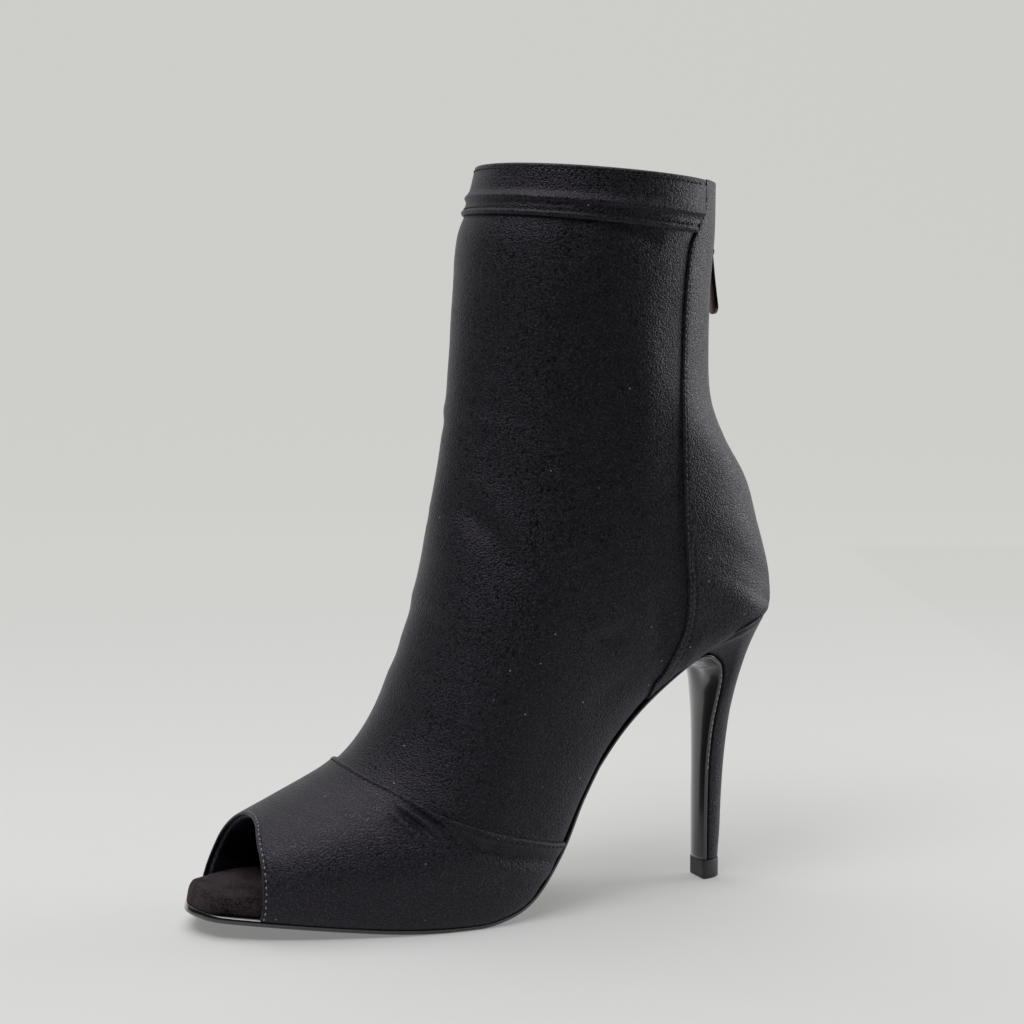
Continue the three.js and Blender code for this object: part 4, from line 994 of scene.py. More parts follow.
class BOOT_OT_vamp(bpy.types.Operator):
    """Vamp panel over the forefoot, with folded edges at the open toe and at its seam"""

    bl_idname = "boot.vamp"
    bl_label = "Vamp"

    def execute(self, context):
        cloth = context.scene.boot_cloth
        thread = context.scene.boot_stitches
        overlay = cloth.overlay / MM
        inset = thread.inset / MM
        share = np.linspace(-1.04, 1.04, VAMP_GRID[1])
        toe, seam = toe_row(share) - 0.05, vamp_row(share)
        u = toe + (seam - toe) * crowded(VAMP_GRID[0], 0.8)[:, None]
        path = np.broadcast_to(share, u.shape)
        base = skin_base(u, path)
        from_toe = distances(base, 0)
        from_seam = from_toe[-1] - from_toe
        lift = (overlay + sewn_edge(from_seam, overlay, bead=0.22, stitch=inset, dip=0.1)
                + sewn_edge(from_toe, overlay, bead=0.05, stitch=TOE_INSET, dip=0.2))
        outer, normal = cloth_grid(u, path, lift, cloth.crease)
        inner, _ = cloth_grid(u, path, UNDERSIDE, cloth.crease)
        points, faces, pairs = wall(outer, inner, cloth_pairs(base))
        satin = cloth_material("vamp_satin", cloth.panel_colour)
        vamp = piece("vamp_cloth", points, faces, satin, pairs)
        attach(vamp, "boot")
        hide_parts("vamp")
        # Light grey thread: painted highlights on the black stitches along the open toe
        yarn = plain_material("thread", thread.colour, 0.38, scale=4000.0, spread=0.5)
        # Black thread darker than the satin, which also paints the shade of the seam's groove as a dark
        # line
        black_and_shade_yarn = plain_material("black_and_shade_thread", thread.black_and_shade_colour, 0.6, scale=4000.0, spread=0.5)
        columns = np.arange(len(share))[6:-6]
        for name, far, level, cord, size, radius in (
                ("vamp_seam_stitches", from_seam, inset, black_and_shade_yarn, thread.length, 0.31),
                ("toe_edge_stitches", from_toe, TOE_INSET, yarn, thread.length * 0.65, 0.26)):
            pick = np.argmin(np.abs(far - level), axis=0)[columns]
            stitches = stitch_piece(name, outer[pick, columns], normal[pick, columns], cord,
                                    thread.pitch / MM, size / MM, radius)
            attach(stitches, "boot")
        return {"FINISHED"}


# Rows of stitches on a back panel: at its seam, a second one low down, and along the zip
SEAM_STITCH = 1.0
LOW_STITCH = 3.0
ZIP_STITCH = 1.6


class BOOT_OT_back_panels(bpy.types.Operator):
    """Two panels up the back, one on each side of the zip"""

    bl_idname = "boot.back_panels"
    bl_label = "Back panels"

    def execute(self, context):
        cloth = context.scene.boot_cloth
        thread = context.scene.boot_stitches
        overlay = cloth.overlay / MM
        satin = cloth_material("back_panel_satin", cloth.panel_colour)
        # Thread lightened a little, to paint faint highlights on the black stitches
        yarn = plain_material("dim_highlight_thread", thread.dim_highlight_colour, 0.4, scale=4000.0, spread=0.5)
        feather = float(bisect(
            lambda u: np.interp(skin_base(u, -1.0)[..., 2], BACK_CURVE[:, 1], BACK_CURVE[:, 0])
            - skin_base(u, -1.0)[..., 0], np.array(9.0), np.array(14.0)))
        u = feather + (LAST_ROW + 0.02 - feather) * crowded(PANEL_GRID[0], 0.35)
        seam = seam_path(u)
        stop = np.maximum(path_end(u, panel_stop(u)), seam + 0.002)
        way = seam[:, None] + (stop - seam)[:, None] * crowded(PANEL_GRID[1], 0.8)
        rows = np.broadcast_to(u[:, None], way.shape)
        for side, name, node in ((-1, "back_panel_outer_cloth", "back_panel_outer"),
                                 (1, "back_panel_inner_cloth", "back_panel_inner")):
            path = side * way
            base = skin_base(rows, path)
            from_seam = distances(base, 1)
            from_back = from_seam[:, -1:] - from_seam
            z = base[..., 2]
            zip_side = smoothstep(15.8, 16.8, rows)
            low_down = 1 - smoothstep(118, 132, z)
            high_up = smoothstep(205, 236, z)
            pucker = np.sin(z * 1.35 + 1.3 * np.sin(z * 0.31)) + 0.6 * np.sin(z * 2.3 + 1.0)
            zip_edge = (sewn_edge(from_back, overlay, bead=0.2, stitch=ZIP_STITCH, dip=0.3)
                        + high_up * bell(from_back, 4.0, 3.6) * (0.32 * pucker + 0.45)
                        + 0.05 * pucker * bell(from_back, 2.2, 1.6))
            lift = (overlay + sewn_edge(from_seam, overlay, bead=0.05, stitch=SEAM_STITCH, dip=0.2)
                    - low_down * 0.35 * bell(from_seam, LOW_STITCH, 0.5) + zip_side * zip_edge)
            outer, normal = cloth_grid(rows, path, lift, cloth.crease)
            inner, _ = cloth_grid(rows, path, UNDERSIDE, cloth.crease)
            points, faces, pairs = wall(outer, inner, cloth_pairs(base))
            panel = piece(name, points, faces, satin, pairs)
            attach(panel, "boot")
            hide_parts(node)
            low_end = int(np.searchsorted(base[:, 0, 2], 128))
            for kind, far, level, first, last in (("seam", from_seam, SEAM_STITCH, 14, 250),
                                                  ("low", from_seam, LOW_STITCH, 14, low_end),
                                                  ("zip", from_back, ZIP_STITCH, 150, 254)):
                along = np.arange(first, last)
                pick = np.argmin(np.abs(far - level), axis=1)[along]
                stitches = stitch_piece(f"{node}_{kind}_stitches", outer[along, pick],
                                        normal[along, pick], yarn, thread.pitch / MM,
                                        thread.length / MM, radius=0.23)
                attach(stitches, "boot")
        return {"FINISHED"}


# Profile of the collar band from its lower edge up, over the collar and down inside:
# share of the band's height, lift in millimetres
BAND_PROFILE = np.array([
    [0.000, 0.30], [-0.012, 0.62], [0.002, 1.05], [0.045, 1.55], [0.095, 1.30], [0.128, 0.95],
    [0.165, 1.10], [0.24, 1.10], [0.30, 1.40], [0.345, 2.00], [0.385, 2.15], [0.46, 1.60],
    [0.55, 1.10], [0.78, 1.05], [0.885, 1.05], [0.925, 0.92], [0.965, 1.02], [1.000, 0.95],
    [1.028, 0.30], [1.034, -0.80], [1.012, -1.95], [0.93, -2.25], [0.70, -2.2], [0.50, -2.2],
    [0.485, -2.05], [0.50, -1.9],
])
BAND_GAP = 0.35     # from the band's ends to the back panels


class BOOT_OT_collar_band(bpy.types.Operator):
    """Folded band round the collar, with stitches along both of its edges"""

    bl_idname = "boot.collar_band"
    bl_label = "Collar band"

    def execute(self, context):
        cloth = context.scene.boot_cloth
        thread = context.scene.boot_stitches
        profile = rows_at(BAND_PROFILE, np.linspace(0, len(BAND_PROFILE) - 1, BAND_GRID[0]))
        share = np.linspace(-1, 1, BAND_GRID[1])
        middle = np.full_like(share, 25.0)
        for _ in range(3):
            side = seam_path(middle, ahead=BAND_GAP)
            low = band_row(share * side)
        height = profile[:, :1]
        u = low + (LAST_ROW - low) * height
        path = share * seam_path(u, ahead=BAND_GAP)
        base, normal = skin_point(u, path)
        fold = creases(base, path, cloth.crease)
        waves = 0.12 * np.sin(path * 9 + 1.0) * bell(height, 0.55, 0.3)
        lift = profile[:, 1:] + fold * 0.6 + waves
        rings = base + normal * lift[..., None]
        satin = cloth_material("band_satin", cloth.band_colour)
        pairs = np.swapaxes(cloth_pairs(rings), 0, 1)
        band = tube_piece("collar_band_cloth", np.swapaxes(rings, 0, 1), satin, pairs)
        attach(band, "boot")
        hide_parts("collar_band")
        yarn = bpy.data.materials["black_and_shade_thread"]
        for name, level in (("band_lower_stitches", 0.128), ("band_upper_stitches", 0.925)):
            pick = int(np.argmin(np.abs(profile[:80, 0] - level) + (profile[:80, 1] < 0)))
            stitches = stitch_piece(name, rings[pick][3:-3], normal[pick][3:-3], yarn,
                                    thread.pitch / MM, thread.length / MM, radius=0.36)
            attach(stitches, "boot")
        return {"FINISHED"}


def ribbon_rings(x, z, out, outer_y, inner_y, near, far, round_share, across, corner=5, foot=0.0):
    """Rings of a flat ribbon with rounded edges. Each ring lies across the side-view line (x, z):
    its faces stand off by near and far along `out`, and its edges are half circles, or squarer on
    the near side by `foot`."""
    half_turn = np.linspace(0, np.pi, corner + 2)
    bow = np.sin(half_turn)
    bow = np.where(half_turn < np.pi / 2, bow + (1 - bow) * foot, bow)
    radius = np.abs(far - near) * round_share
    middle, half = (outer_y + inner_y) / 2, (outer_y - inner_y) / 2
    radius = np.minimum(radius, half * 0.95)
    flat = np.linspace(-1, 1, across)
    near_y = middle[:, None] + (half - radius)[:, None] * flat
    outer_edge = middle[:, None] + (half - radius)[:, None] + radius[:, None] * bow[1:-1]
    inner_edge = middle[:, None] - (half - radius)[:, None] - radius[:, None] * bow[::-1][1:-1]
    mix = (1 - np.cos(half_turn))[1:-1] / 2
    steps_y = [near_y, outer_edge, near_y[:, ::-1], inner_edge]
    depth = [np.zeros_like(near_y), mix + 0 * outer_edge, np.ones_like(near_y), 1 - mix + 0 * inner_edge]
    y = np.concatenate(steps_y, 1)
    lift = near[:, None] + (far - near)[:, None] * np.concatenate(depth, 1)
    return np.stack([x[:, None] + out[:, None, 0] * lift, y, z[:, None] + out[:, None, 2] * lift], -1)


def standing_off(rings, x, z, out):
    """How far each point of the rings stands off its own point (x, z) of the line, along `out`."""
    line = np.stack([x, 0 * x, z], -1)
    return np.einsum("rci,ri->rc", rings - line[:, None], out)


def smoothed(values, turns):
    """Values along a path, averaged with their neighbours a number of times, ends kept."""
    values = values.copy()
    for _ in range(turns):
        values[1:-1] = (values[:-2] + 2 * values[1:-1] + values[2:]) / 4
    return values


class BOOT_OT_insole(bpy.types.Operator):
    """Insole with its napped sock, seen through the open toe"""

    bl_idname = "boot.insole"
    bl_label = "Insole"

    def execute(self, context):
        sole = context.scene.boot_sole
        share = np.linspace(0, 1, 190)
        u = 0.02 + (15.3 - 0.02) * share ** 1.5
        row = rows_at(ROWS, u)
        open_toe = 1 - smoothstep(1.5, 2.6, u)
        no_margin = 1 - smoothstep(3.6, 4.8, u)
        inset = INSOLE_INSET - (INSOLE_INSET + 0.35) * open_toe
        outer_y = row[:, 4] + row[:, 8] - inset
        inner_y = row[:, 4] - row[:, 9] + inset
        near = -WALL - GAP + (WALL + GAP + 0.2) * no_margin
        top = -WALL - GAP - INSOLE_THICKNESS - 1.1 * (1 - smoothstep(2.5, 5.5, u))
        far = near + (top - near) * (0.25 + 0.75 * quarter_round(share / 0.07))
        down = bottom_normal(u)
        rings = ribbon_rings(row[:, 2], row[:, 3], down, outer_y, inner_y, near, far,
                             round_share=0.5, across=26, corner=9, foot=0.85)
        middle, half = (outer_y + inner_y) / 2, (outer_y - inner_y) / 2
        aside = np.abs(rings[..., 1] - middle[:, None]) / half[:, None]
        height = standing_off(rings, row[:, 2], row[:, 3], down)
        height = np.clip((height - near[:, None]) / (far - near)[:, None], 0, 1)
        drop = (1 - smoothstep(2.5, 4.5, u))[:, None] * height * 1.7 * np.clip(aside, 0, 1) ** 3
        rings = rings + down[:, None] * drop[..., None]
        material = suede_material("sock_suede", sole.sock_colour)
        insole = tube_piece("insole_sock", rings, material)
        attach(insole, "boot")
        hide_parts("insole")
        return {"FINISHED"}


def sole_path():
    """The outsole's line in the side view, from the toe to the waist and down the heel's front:
    x, z, direction out, outer and inner edges, thickness, and how many points lie before the heel."""
    waist = float(bisect(lambda u: BREAST_REACH - rows_at(ROWS, u)[..., 2],
                         np.array(10.0), np.array(16.0)))
    u = waist * np.linspace(0, 1, 150) ** 1.35
    row = rows_at(ROWS, u)
    pared = np.clip((u - 7) / 5, 0, 1)
    thick = OUTSOLE_THICKNESS + (WAIST_THICKNESS - OUTSOLE_THICKNESS) * pared
    t = np.linspace(HEEL_LAST - 1, 0, 90)
    front = rows_at(HEEL_ROWS, t)
    above_t, under_t = rows_at(HEEL_ROWS, t + 0.05), rows_at(HEEL_ROWS, t - 0.05)
    out = unit(np.stack([above_t[:, 3] - under_t[:, 3], 0 * t, under_t[:, 2] - above_t[:, 2]], -1))
    pared = np.clip((t - 6) / (HEEL_LAST - 6), 0, 1)
    thin = BREAST_THICKNESS + (WAIST_THICKNESS - BREAST_THICKNESS) * pared
    x = np.concatenate([row[:, 2], front[:, 2]])
    z = np.concatenate([row[:, 3], front[:, 3]])
    outer_y = np.concatenate([row[:, 4] + row[:, 8] + SOLE_MARGIN, front[:, 6]])
    inner_y = np.concatenate([row[:, 4] - row[:, 9] - SOLE_MARGIN, -front[:, 6]])
    normal = np.concatenate([bottom_normal(u), out])
    thickness = np.concatenate([thick, thin])
    turn = slice(len(u) - 16, len(u) + 16)
    for values in (x, z, outer_y, inner_y, thickness, normal):
        values[turn] = smoothed(values[turn], 20)
    return x, z, unit(normal), outer_y, inner_y, thickness, len(u)


BREAST_BULGE = 1.7  # how far the heel's front bows out where it is 12 mm wide
BREAST_DENT = 1.1   # depth of the dimple in it


class BOOT_OT_outsole(bpy.types.Operator):
    """Thin outsole that runs under the waist and down the front of the heel"""

    bl_idname = "boot.outsole"
    bl_label = "Outsole"

    def execute(self, context):
        sole = context.scene.boot_sole
        x, z, out, outer_y, inner_y, thickness, waist = sole_path()
        near = np.full(len(x), GAP)
        rings = ribbon_rings(x, z, out, outer_y, inner_y, near, near + thickness,
                             round_share=0.4, across=34)
        half = np.maximum((outer_y - inner_y) / 2, 1)[:, None]
        y = rings[..., 1] - ((outer_y + inner_y) / 2)[:, None]
        breast = smoothstep(waist - 4, waist + 26, np.arange(len(x)))[:, None]
        outside = standing_off(rings, x, z, out) - near[:, None]
        outside = np.clip(outside / thickness[:, None], 0, 1)
        bulge = BREAST_BULGE * (half / 6) * np.clip(1 - (y / half) ** 2, 0, 1)
        dent = BREAST_DENT * bell(rings[..., 2], 77.0, 5.0) * bell(y, 2.5, 4.0)
        rings = rings + out[:, None] * (outside * breast * (bulge - dent))[..., None]
        rings[..., 2] = np.maximum(rings[..., 2], 0)
        material = plain_material("polished_sole", sole.sole_colour, 0.24, coat=1.0, scale=260.0,
                                  bump=0.12, vary=0.12)
        outsole = tube_piece("outsole_edge", rings, material)
        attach(outsole, "boot")
        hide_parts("outsole")

        glue = plain_material("glue", sole.glue_colour, 0.25, coat=1.0, scale=2500.0, spread=0.5)
        rows = np.arange(len(x))
        edge = np.stack([x, outer_y + 0.25, z], -1) - out * 0.3
        heel_edge = rings[:, np.argmax(rings[0, :, 1])]
        width = sole.glue_width / MM
        for name, line, keep, pitch, radius in (
                ("glue_at_toe", edge, (rows < waist) & (x > 139) & (x < 161), 1.7, 0.5 * width),
                ("glue_under_vamp", edge, (rows < waist) & (x > 97) & (x < 101), 2.4, 0.36 * width),
                ("glue_at_heel", heel_edge, (rows > waist) & (z > 40) & (z < 78), 2.3, 0.34 * width)):
            away = out[keep] * [1, 0, 1] * 0.3 + [0, 0.9, 0]
            drops = stitch_piece(name, line[keep], away, glue, pitch, pitch * 0.7, radius, rise=0.03)
            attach(drops, "boot")
        return {"FINISHED"}


HEEL_SWELL = 1.0    # growth of the heel's cover towards the shaft
HEEL_GRID = (150, 120)
HEEL_FRONT_COLUMNS = 14
# Sections of the heel tip: height, and five times the share by which the outline is drawn in
TIP_PROFILE = np.array([
    [0.0, 0.55], [0.12, 0.22], [0.5, 0.0], [3.5, 0.0], [6.5, 0.0], [6.85, 0.12], [7.0, 0.4],
])


def heel_ring(t, columns, margin):
    """Rings of the heel: a D with its flat side to the front, x = back + (front - back)(1 - cos a)
    and y = half sqrt(1 - (1 - share / widest)^2) up to the widest place."""
    row = rows_at(HEEL_ROWS, t)[..., None, :]
    margin = np.asarray(margin)[..., None]
    back_x, back_z, front_x, front_z, half, widest, front_half = np.moveaxis(row, -1, 0)
    turn = np.linspace(-0.5, 0.5, columns) * np.pi
    share = 1 - np.cos(turn)
    round_part = half * np.sqrt(np.clip(1 - (1 - share / widest) ** 2, 0, 1))
    straight = half + (front_half - half) * (share - widest) / np.maximum(1 - widest, 1e-6)
    y = np.where(share < widest, round_part, straight) + margin
    x = back_x - margin + (front_x - back_x + margin) * share
    z = back_z + (front_z - back_z) * share
    return np.stack([x, y * np.sign(turn), z], -1)


class BOOT_OT_heel(bpy.types.Operator):
    """Thin heel in its cloth cover, and its rubber tip"""

    bl_idname = "boot.heel"
    bl_label = "Heel"

    def execute(self, context):
        cloth = context.scene.boot_cloth
        sole = context.scene.boot_sole
        columns = HEEL_GRID[1]
        floor_row = rows_at(ROWS, np.linspace(10, 18, 400))
        order = np.argsort(floor_row[:, 2])
        seat_x, seat_z = floor_row[order, 2], floor_row[order, 3]

        def cover(t, swell):
            """Point of the cover for each column at its own row, grown by its swell."""
            return heel_ring(t, columns, swell)[np.arange(columns), np.arange(columns)]

        def over_seat(t):
            point = cover(t, np.full(columns, HEEL_SWELL))
            return point[:, 2] - np.interp(point[:, 0], seat_x, seat_z) + 0.15

        top = bisect(over_seat, np.full(columns, 4.0), np.full(columns, 11.0))
        share = np.linspace(0, 1, HEEL_GRID[0])[:, None]
        t = 0.02 + (top - 0.02) * share
        swell = HEEL_SWELL * smoothstep(0.55, 1.0, share) * smoothstep(6.0, 8.5, top)
        grid = np.stack([cover(t[k], swell[k]) for k in range(len(share))])
        front_y = np.linspace(1, -1, HEEL_FRONT_COLUMNS + 2)[1:-1]
        mix = (1 - front_y[None, :, None]) / 2
        front = grid[:, -1:] * (1 - mix) + grid[:, :1] * mix
        rings = np.concatenate([grid, front], 1)
        for _ in range(3):
            rings = (np.roll(rings, 1, 1) + 2 * rings + np.roll(rings, -1, 1)) / 4
        closed = np.concatenate([rings, rings[:, :1]], 1)
        pairs = cloth_pairs(closed)[:, :-1]
        satin = cloth_material("heel_satin", cloth.panel_colour)
        heel = tube_piece("heel_cover", rings, satin, pairs)
        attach(heel, "boot")
        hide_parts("heel")

        top_line = grid[-1]
        from_middle = top_line[:, 0] - top_line[:, 0].mean()
        away = unit(np.stack([from_middle, top_line[:, 1] * 2, 0 * top], -1))
        # The bead's lighter grey paints the highlight line along the feather
        edge = plain_material("feather_highlight_edge", sole.feather_highlight_colour, 0.35, scale=2500.0)
        bead = stitch_piece("feather_bead", (top_line + away * 0.35)[4:-4], away[4:-4], edge,
                            pitch=1.1, length=1.5, radius=0.34, rise=0.0)
        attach(bead, "boot")

        turn = np.linspace(-0.5, 0.5, 60) * np.pi
        tip_front = TIP_LENGTH - TIP_BACK
        arc = np.stack([tip_front - TIP_LENGTH * np.cos(turn), TIP_WIDTH / 2 * np.sin(turn)], -1)
        flat = np.stack([np.full(HEEL_FRONT_COLUMNS, tip_front), TIP_WIDTH / 2 * front_y], -1)
        outline = np.concatenate([arc, flat])
        for _ in range(2):
            outline = (np.roll(outline, 1, 0) + 2 * outline + np.roll(outline, -1, 0)) / 4
        centre = np.array([-0.9, 0.0])
        scale = 1 - TIP_PROFILE[:, 1] / 5
        xy = centre + (outline - centre)[None] * scale[:, None, None]
        z = np.broadcast_to(TIP_PROFILE[:, None, :1], xy.shape[:2] + (1,))
        rubber = plain_material("tip_rubber", sole.tip_colour, 0.55, scale=1200.0, bump=0.2)
        tip = tube_piece("heel_tip_rubber", np.concatenate([xy, z], -1), rubber)
        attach(tip, "boot")
        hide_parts("heel_tip")
        return {"FINISHED"}


def back_place(z, y, lift):
    """Point over the back of the shaft at a height: x from the back line, lifted along its normal."""
    u = np.interp(z, ROWS[SEAT_ROW:, 3], np.arange(SEAT_ROW, LAST_ROW + 1))
    for _ in range(6):
        row = rows_at(ROWS, u)
        slope = rows_at(ROWS, u + 0.01)[..., 3] - rows_at(ROWS, u - 0.01)[..., 3]
        u = u + (z - row[..., 3]) / np.maximum(slope, 1e-3) * 0.02
    row = rows_at(ROWS, u)
    place = np.stack([row[..., 2], y + 0 * row[..., 2], row[..., 3]], -1)
    return place + bottom_normal(u) * np.asarray(lift)[..., None]


def parting(z):
    """Half the gap between the two sides of the zip: shut under the slider, 1.5 mm at the collar."""
    top = ROWS[LAST_ROW, 3]
    return 0.08 + 1.4 * smoothstep(SLIDER_BOTTOM + 8, top + 4, z)


TAPE_HALF = 3.55    # half the width of both tapes together
TAPE_DEPTH = (0.5, 1.0)
TOOTH_LENGTH = 1.75
TOOTH_RADIUS = 0.46
TOOTH_PLACE = 0.72  # from the edge of the parting to the middle of a tooth


class BOOT_OT_zip(bpy.types.Operator):
    """Zip tapes and coil teeth up the back"""

    bl_idname = "boot.zip"
    bl_label = "Zip"

    def execute(self, context):
        zip_settings = context.scene.boot_zip
        top = ROWS[LAST_ROW, 3]
        z = np.linspace(ZIP_BOTTOM + 0.5, top - 0.4, 90)[:, None]
        tape = cloth_material("zip_tape", (0.008, 0.008, 0.009), rough=0.75, sheen=0.2, lint=0.3)
        teeth_material = plain_material("zip_coil", (0.012, 0.012, 0.013), 0.38, scale=2500.0)
        all_points, all_faces = [], []
        for side, name in ((1, "zip_tape_outer"), (-1, "zip_tape_inner")):
            share = np.linspace(0, 1, 10)[None, :]
            near = parting(z)
            y = side * (near + (TAPE_HALF - near) * share)
            outer, inner = (back_place(z + 0 * y, y, 0 * y - depth) for depth in TAPE_DEPTH)
            points, faces, pairs = wall(outer, inner, cloth_pairs(outer))
            strip = piece(name, points, faces, tape, pairs)
            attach(strip, "boot")
            if side > 0:
                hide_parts("zip")
            pitch = zip_settings.tooth_pitch / MM
            at = np.arange(ZIP_BOTTOM + 1.5, top - 1.2, pitch) + side * pitch / 4
            middle_y = side * (parting(at) + TOOTH_PLACE)
            place = back_place(at, middle_y, 0 * at - 0.05)
            u = np.interp(at, ROWS[SEAT_ROW:, 3], np.arange(SEAT_ROW, LAST_ROW + 1))
            out = bottom_normal(u)
            across = np.broadcast_to([0.0, 1.0, 0.0], out.shape)
            frames = np.stack([across, np.cross(out, across), out], -1)
            points, faces = capsule(TOOTH_LENGTH, TOOTH_RADIUS, sides=8)
            points, faces = repeated(points * [1, 0.95, 1.25], faces, place, frames)
            all_faces.append(faces + sum(len(p) for p in all_points))
            all_points.append(points)
        teeth = piece("zip_teeth", np.vstack(all_points), corner_lists(np.vstack(all_faces)),
                      teeth_material)
        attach(teeth, "boot")
        return {"FINISHED"}


def bevelled_copy(node, name, material, width):
    """A copy of a CAD node with its doubled corners merged and its edges bevelled."""
    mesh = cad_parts[node].data.copy()
    mesh.name = name
    thing = bpy.data.objects.new(name, mesh)
    bpy.context.scene.collection.objects.link(thing)
    weld = thing.modifiers.new("weld", "WELD")
    weld.merge_threshold = 1e-6
    bevel = thing.modifiers.new("bevel", "BEVEL")
    bevel.width = width * MM
    bevel.segments = 3
    bevel.limit_method = "ANGLE"
    bevel.angle_limit = math.radians(35)
    mesh.materials.clear()
    mesh.materials.append(material)
    mesh.polygons.foreach_set("use_smooth", np.ones(len(mesh.polygons), bool))
    return thing


class BOOT_OT_slider(bpy.types.Operator):
    """Zip slider and its drop-shaped pull"""

    bl_idname = "boot.slider"
    bl_label = "Slider and pull"

    def execute(self, context):
        colour = context.scene.boot_zip.metal_colour
        metal = plain_material("bronze_plating", colour, 0.24, metallic=1.0, scale=700.0, bump=0.08,
                               vary=0.1, spread=0.2)
        slider = bevelled_copy("zip_slider", "zip_slider_metal", metal, 0.18)
        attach(slider, "boot")
        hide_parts("zip_slider")
        pull = bevelled_copy("zip_pull", "zip_pull_metal", metal, 0.25)
        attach(pull, "pull")
        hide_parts("zip_pull")
        return {"FINISHED"}


# Stage

# Place of the photograph's camera in working millimetres, and its turns in degrees
CAMERA_PLACE = np.array([355.0, 674.0, 206.7])
CAMERA_TURNS = (84.46, 0.0, 157.5)
AHEAD = math.radians(180 - CAMERA_TURNS[2])  # how far the camera stands ahead of the boot's side
FORWARD = -np.array([math.sin(AHEAD), math.cos(AHEAD), 0.0])
RIGHT = np.array([-math.cos(AHEAD), math.sin(AHEAD), 0.0])
UP = np.array([0.0, 0.0, 1.0])

# The sweep in metres: how far its floor runs before and behind the boot, the radius of its bend,
# the height of its wall and its width
SWEEP_BEFORE = 2.5
SWEEP_BEHIND = 1.2
SWEEP_RADIUS = 0.9
SWEEP_TOP = 4.5
SWEEP_WIDTH = 6.0
# Metres behind the boot between which the sweep's paper turns into its even, bright background
FADE = (0.12, 0.8)

# Black cards on the floor that only reflections see: left, right, near and far edge, in metres
CARDS = {"front_card": (-1.6, 1.6, -2.0, -0.2), "side_card": (0.3, 1.6, -0.2, 1.1)}
CARD_HEIGHT = 0.002


def seen(side, behind, up):
    """A place from the camera's side: metres to the right, behind the boot, and up."""
    return RIGHT * side + FORWARD * behind + UP * up


def area_light(name, place, target, size, power):
    """A rectangular light that looks at a target, all in metres."""
    data = bpy.data.lights.new(name, "AREA")
    data.shape = "RECTANGLE"
    data.size, data.size_y = size
    data.energy = power
    lamp = bpy.data.objects.new(name, data)
    bpy.context.scene.collection.objects.link(lamp)
    back = unit(place - target)
    across = unit(np.cross(UP, back))
    turn = np.stack([across, np.cross(back, across), back], -1)
    lamp.matrix_world = Matrix.Translation(place.tolist()) @ Matrix(turn.tolist()).to_4x4()


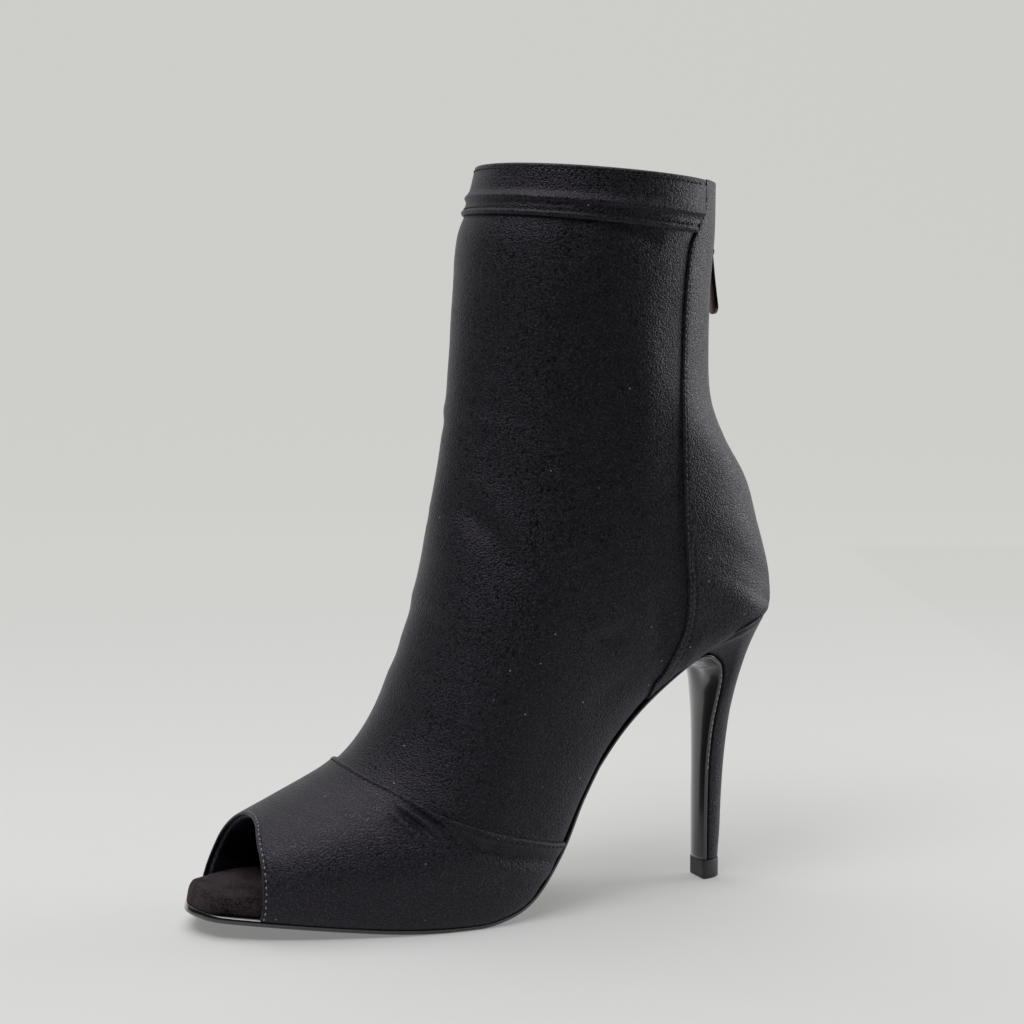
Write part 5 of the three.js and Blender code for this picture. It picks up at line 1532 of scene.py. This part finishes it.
class BOOT_OT_stage(bpy.types.Operator):
    """Pale sweep, soft light and the photograph's camera"""

    bl_idname = "boot.stage"
    bl_label = "Stage"

    def execute(self, context):
        stage = context.scene.boot_stage
        floor = np.linspace(-SWEEP_BEFORE, SWEEP_BEHIND, 20)
        bend = np.linspace(0, np.pi / 2, 24)[1:]
        rise = np.linspace(SWEEP_RADIUS, SWEEP_TOP, 13)[1:]
        behind = np.concatenate([floor, SWEEP_BEHIND + SWEEP_RADIUS * np.sin(bend),
                                 0 * rise + SWEEP_BEHIND + SWEEP_RADIUS])
        up = np.concatenate([0 * floor, SWEEP_RADIUS * (1 - np.cos(bend)), rise])
        side = np.linspace(-SWEEP_WIDTH / 2, SWEEP_WIDTH / 2, 12)
        grid = seen(side[None, :, None], behind[:, None, None], up[:, None, None])
        paper = plain_material("sweep_paper", stage.floor_colour, 0.85, scale=40.0, bump=0.0, vary=0.0,
                               spread=0.004)
        tree = paper.node_tree
        shader = tree.nodes["Principled BSDF"]
        place = add(tree, "ShaderNodeTexCoord").outputs["Object"]
        depth = add(tree, "ShaderNodeVectorMath", operation="DOT_PRODUCT")
        tree.links.new(place, depth.inputs[0])
        depth.inputs[1].default_value = FORWARD
        share = ranged(tree, depth.outputs["Value"], *FADE, 0.0, 1.0)
        lit = shader.inputs["Base Color"].links[0].from_socket
        tree.links.new(mixed(tree, share, lit, (0.02, 0.02, 0.02, 1)), shader.inputs["Base Color"])
        far = tuple(stage.wall_tone / stage.floor_glow * np.array([1.0, 1.003, 0.968])) + (1,)
        tree.links.new(mixed(tree, share, (1, 1, 0.99, 1), far), shader.inputs["Emission Color"])
        shader.inputs["Emission Strength"].default_value = stage.floor_glow
        shader.inputs["Specular IOR Level"].default_value = 0.1
        faces = grid_faces(*grid.shape[:2])[:, ::-1].tolist()
        sweep = mesh_object("sweep", grid.reshape(-1, 3), faces, paper)

        world = bpy.data.worlds.new("surroundings")
        world.use_nodes = True
        tree = world.node_tree
        tree.nodes["Background"].inputs[0].default_value = (0.998, 1.0, 0.967, 1)
        for_camera = add(tree, "ShaderNodeLightPath").outputs["Is Camera Ray"]
        strength = ranged(tree, for_camera, 0.0, 1.0, stage.world_strength, stage.wall_tone)
        tree.links.new(strength, tree.nodes["Background"].inputs[1])
        context.scene.world = world

        middle = seen(0, 0, 0.12)
        area_light("top", seen(-0.35, 0.0, 2.3), seen(-0.35, 0.12, 0.0), (2.2, 2.9), stage.top_power)
        area_light("left", seen(-0.5, -0.75, 1.5), seen(-0.1, 0.0, 0.05), (0.8, 0.6), stage.key_power)
        area_light("edge", seen(-1.25, 0.6, 0.8), middle, (0.5, 1.1), stage.edge_power)
        area_light("right", seen(1.25, 0.5, 0.38), middle, (0.7, 0.7), stage.rim_power)

        black = plain_material("black_card", (0.01, 0.01, 0.01), 0.9)
        for name, (left, right, near, far) in CARDS.items():
            corners = [seen(*corner, CARD_HEIGHT)
                       for corner in ((left, near), (right, near), (right, far), (left, far))]
            card = mesh_object(name, np.array(corners), [(0, 1, 2, 3)], black)
            card.visible_camera = False
            card.visible_shadow = False
            card.visible_diffuse = False

        data = bpy.data.cameras.new("photo_camera")
        data.sensor_width = 36.0
        data.lens = stage.focal
        data.clip_start, data.clip_end = 0.01, 50
        camera = bpy.data.objects.new("photo_camera", data)
        context.scene.collection.objects.link(camera)
        camera.location = ((CAMERA_PLACE + ORIGIN) * MM).tolist()
        camera.rotation_euler = [math.radians(turn) for turn in CAMERA_TURNS]
        context.scene.camera = camera
        context.scene.view_settings.view_transform = "Standard"
        context.scene.view_settings.look = "None"
        return {"FINISHED"}


OPERATORS = (BOOT_OT_shaft, BOOT_OT_vamp, BOOT_OT_back_panels, BOOT_OT_collar_band, BOOT_OT_insole,
             BOOT_OT_outsole, BOOT_OT_heel, BOOT_OT_zip, BOOT_OT_slider, BOOT_OT_stage)


class BOOT_PT_pieces(bpy.types.Panel):
    """Pieces of the boot, in the order in which they are made"""

    bl_label = "Boot"
    bl_space_type = "VIEW_3D"
    bl_region_type = "UI"
    bl_category = "Boot"

    def draw(self, context):
        for operator in OPERATORS:
            self.layout.operator(operator.bl_idname)


SETTINGS = {
    "boot_cloth": ClothSettings,
    "boot_stitches": StitchSettings,
    "boot_sole": SoleSettings,
    "boot_zip": ZipSettings,
    "boot_stage": StageSettings,
}
CLASSES = (*SETTINGS.values(), *OPERATORS, BOOT_PT_pieces)


def register():
    """Makes settings, operators and the panel known to Blender."""
    for cls in CLASSES:
        bpy.utils.register_class(cls)
    for name, cls in SETTINGS.items():
        setattr(bpy.types.Scene, name, PointerProperty(type=cls))


def unregister():
    """Takes everything back that register added."""
    for name in SETTINGS:
        delattr(bpy.types.Scene, name)
    for cls in reversed(CLASSES):
        bpy.utils.unregister_class(cls)


def main():
    """Makes the whole boot and its stage."""
    register()
    bpy.ops.boot.shaft()
    bpy.ops.boot.vamp()
    bpy.ops.boot.back_panels()
    bpy.ops.boot.collar_band()
    bpy.ops.boot.insole()
    bpy.ops.boot.outsole()
    bpy.ops.boot.heel()
    bpy.ops.boot.zip()
    bpy.ops.boot.slider()
    bpy.ops.boot.stage()


if __name__ == "__main__":
    main()
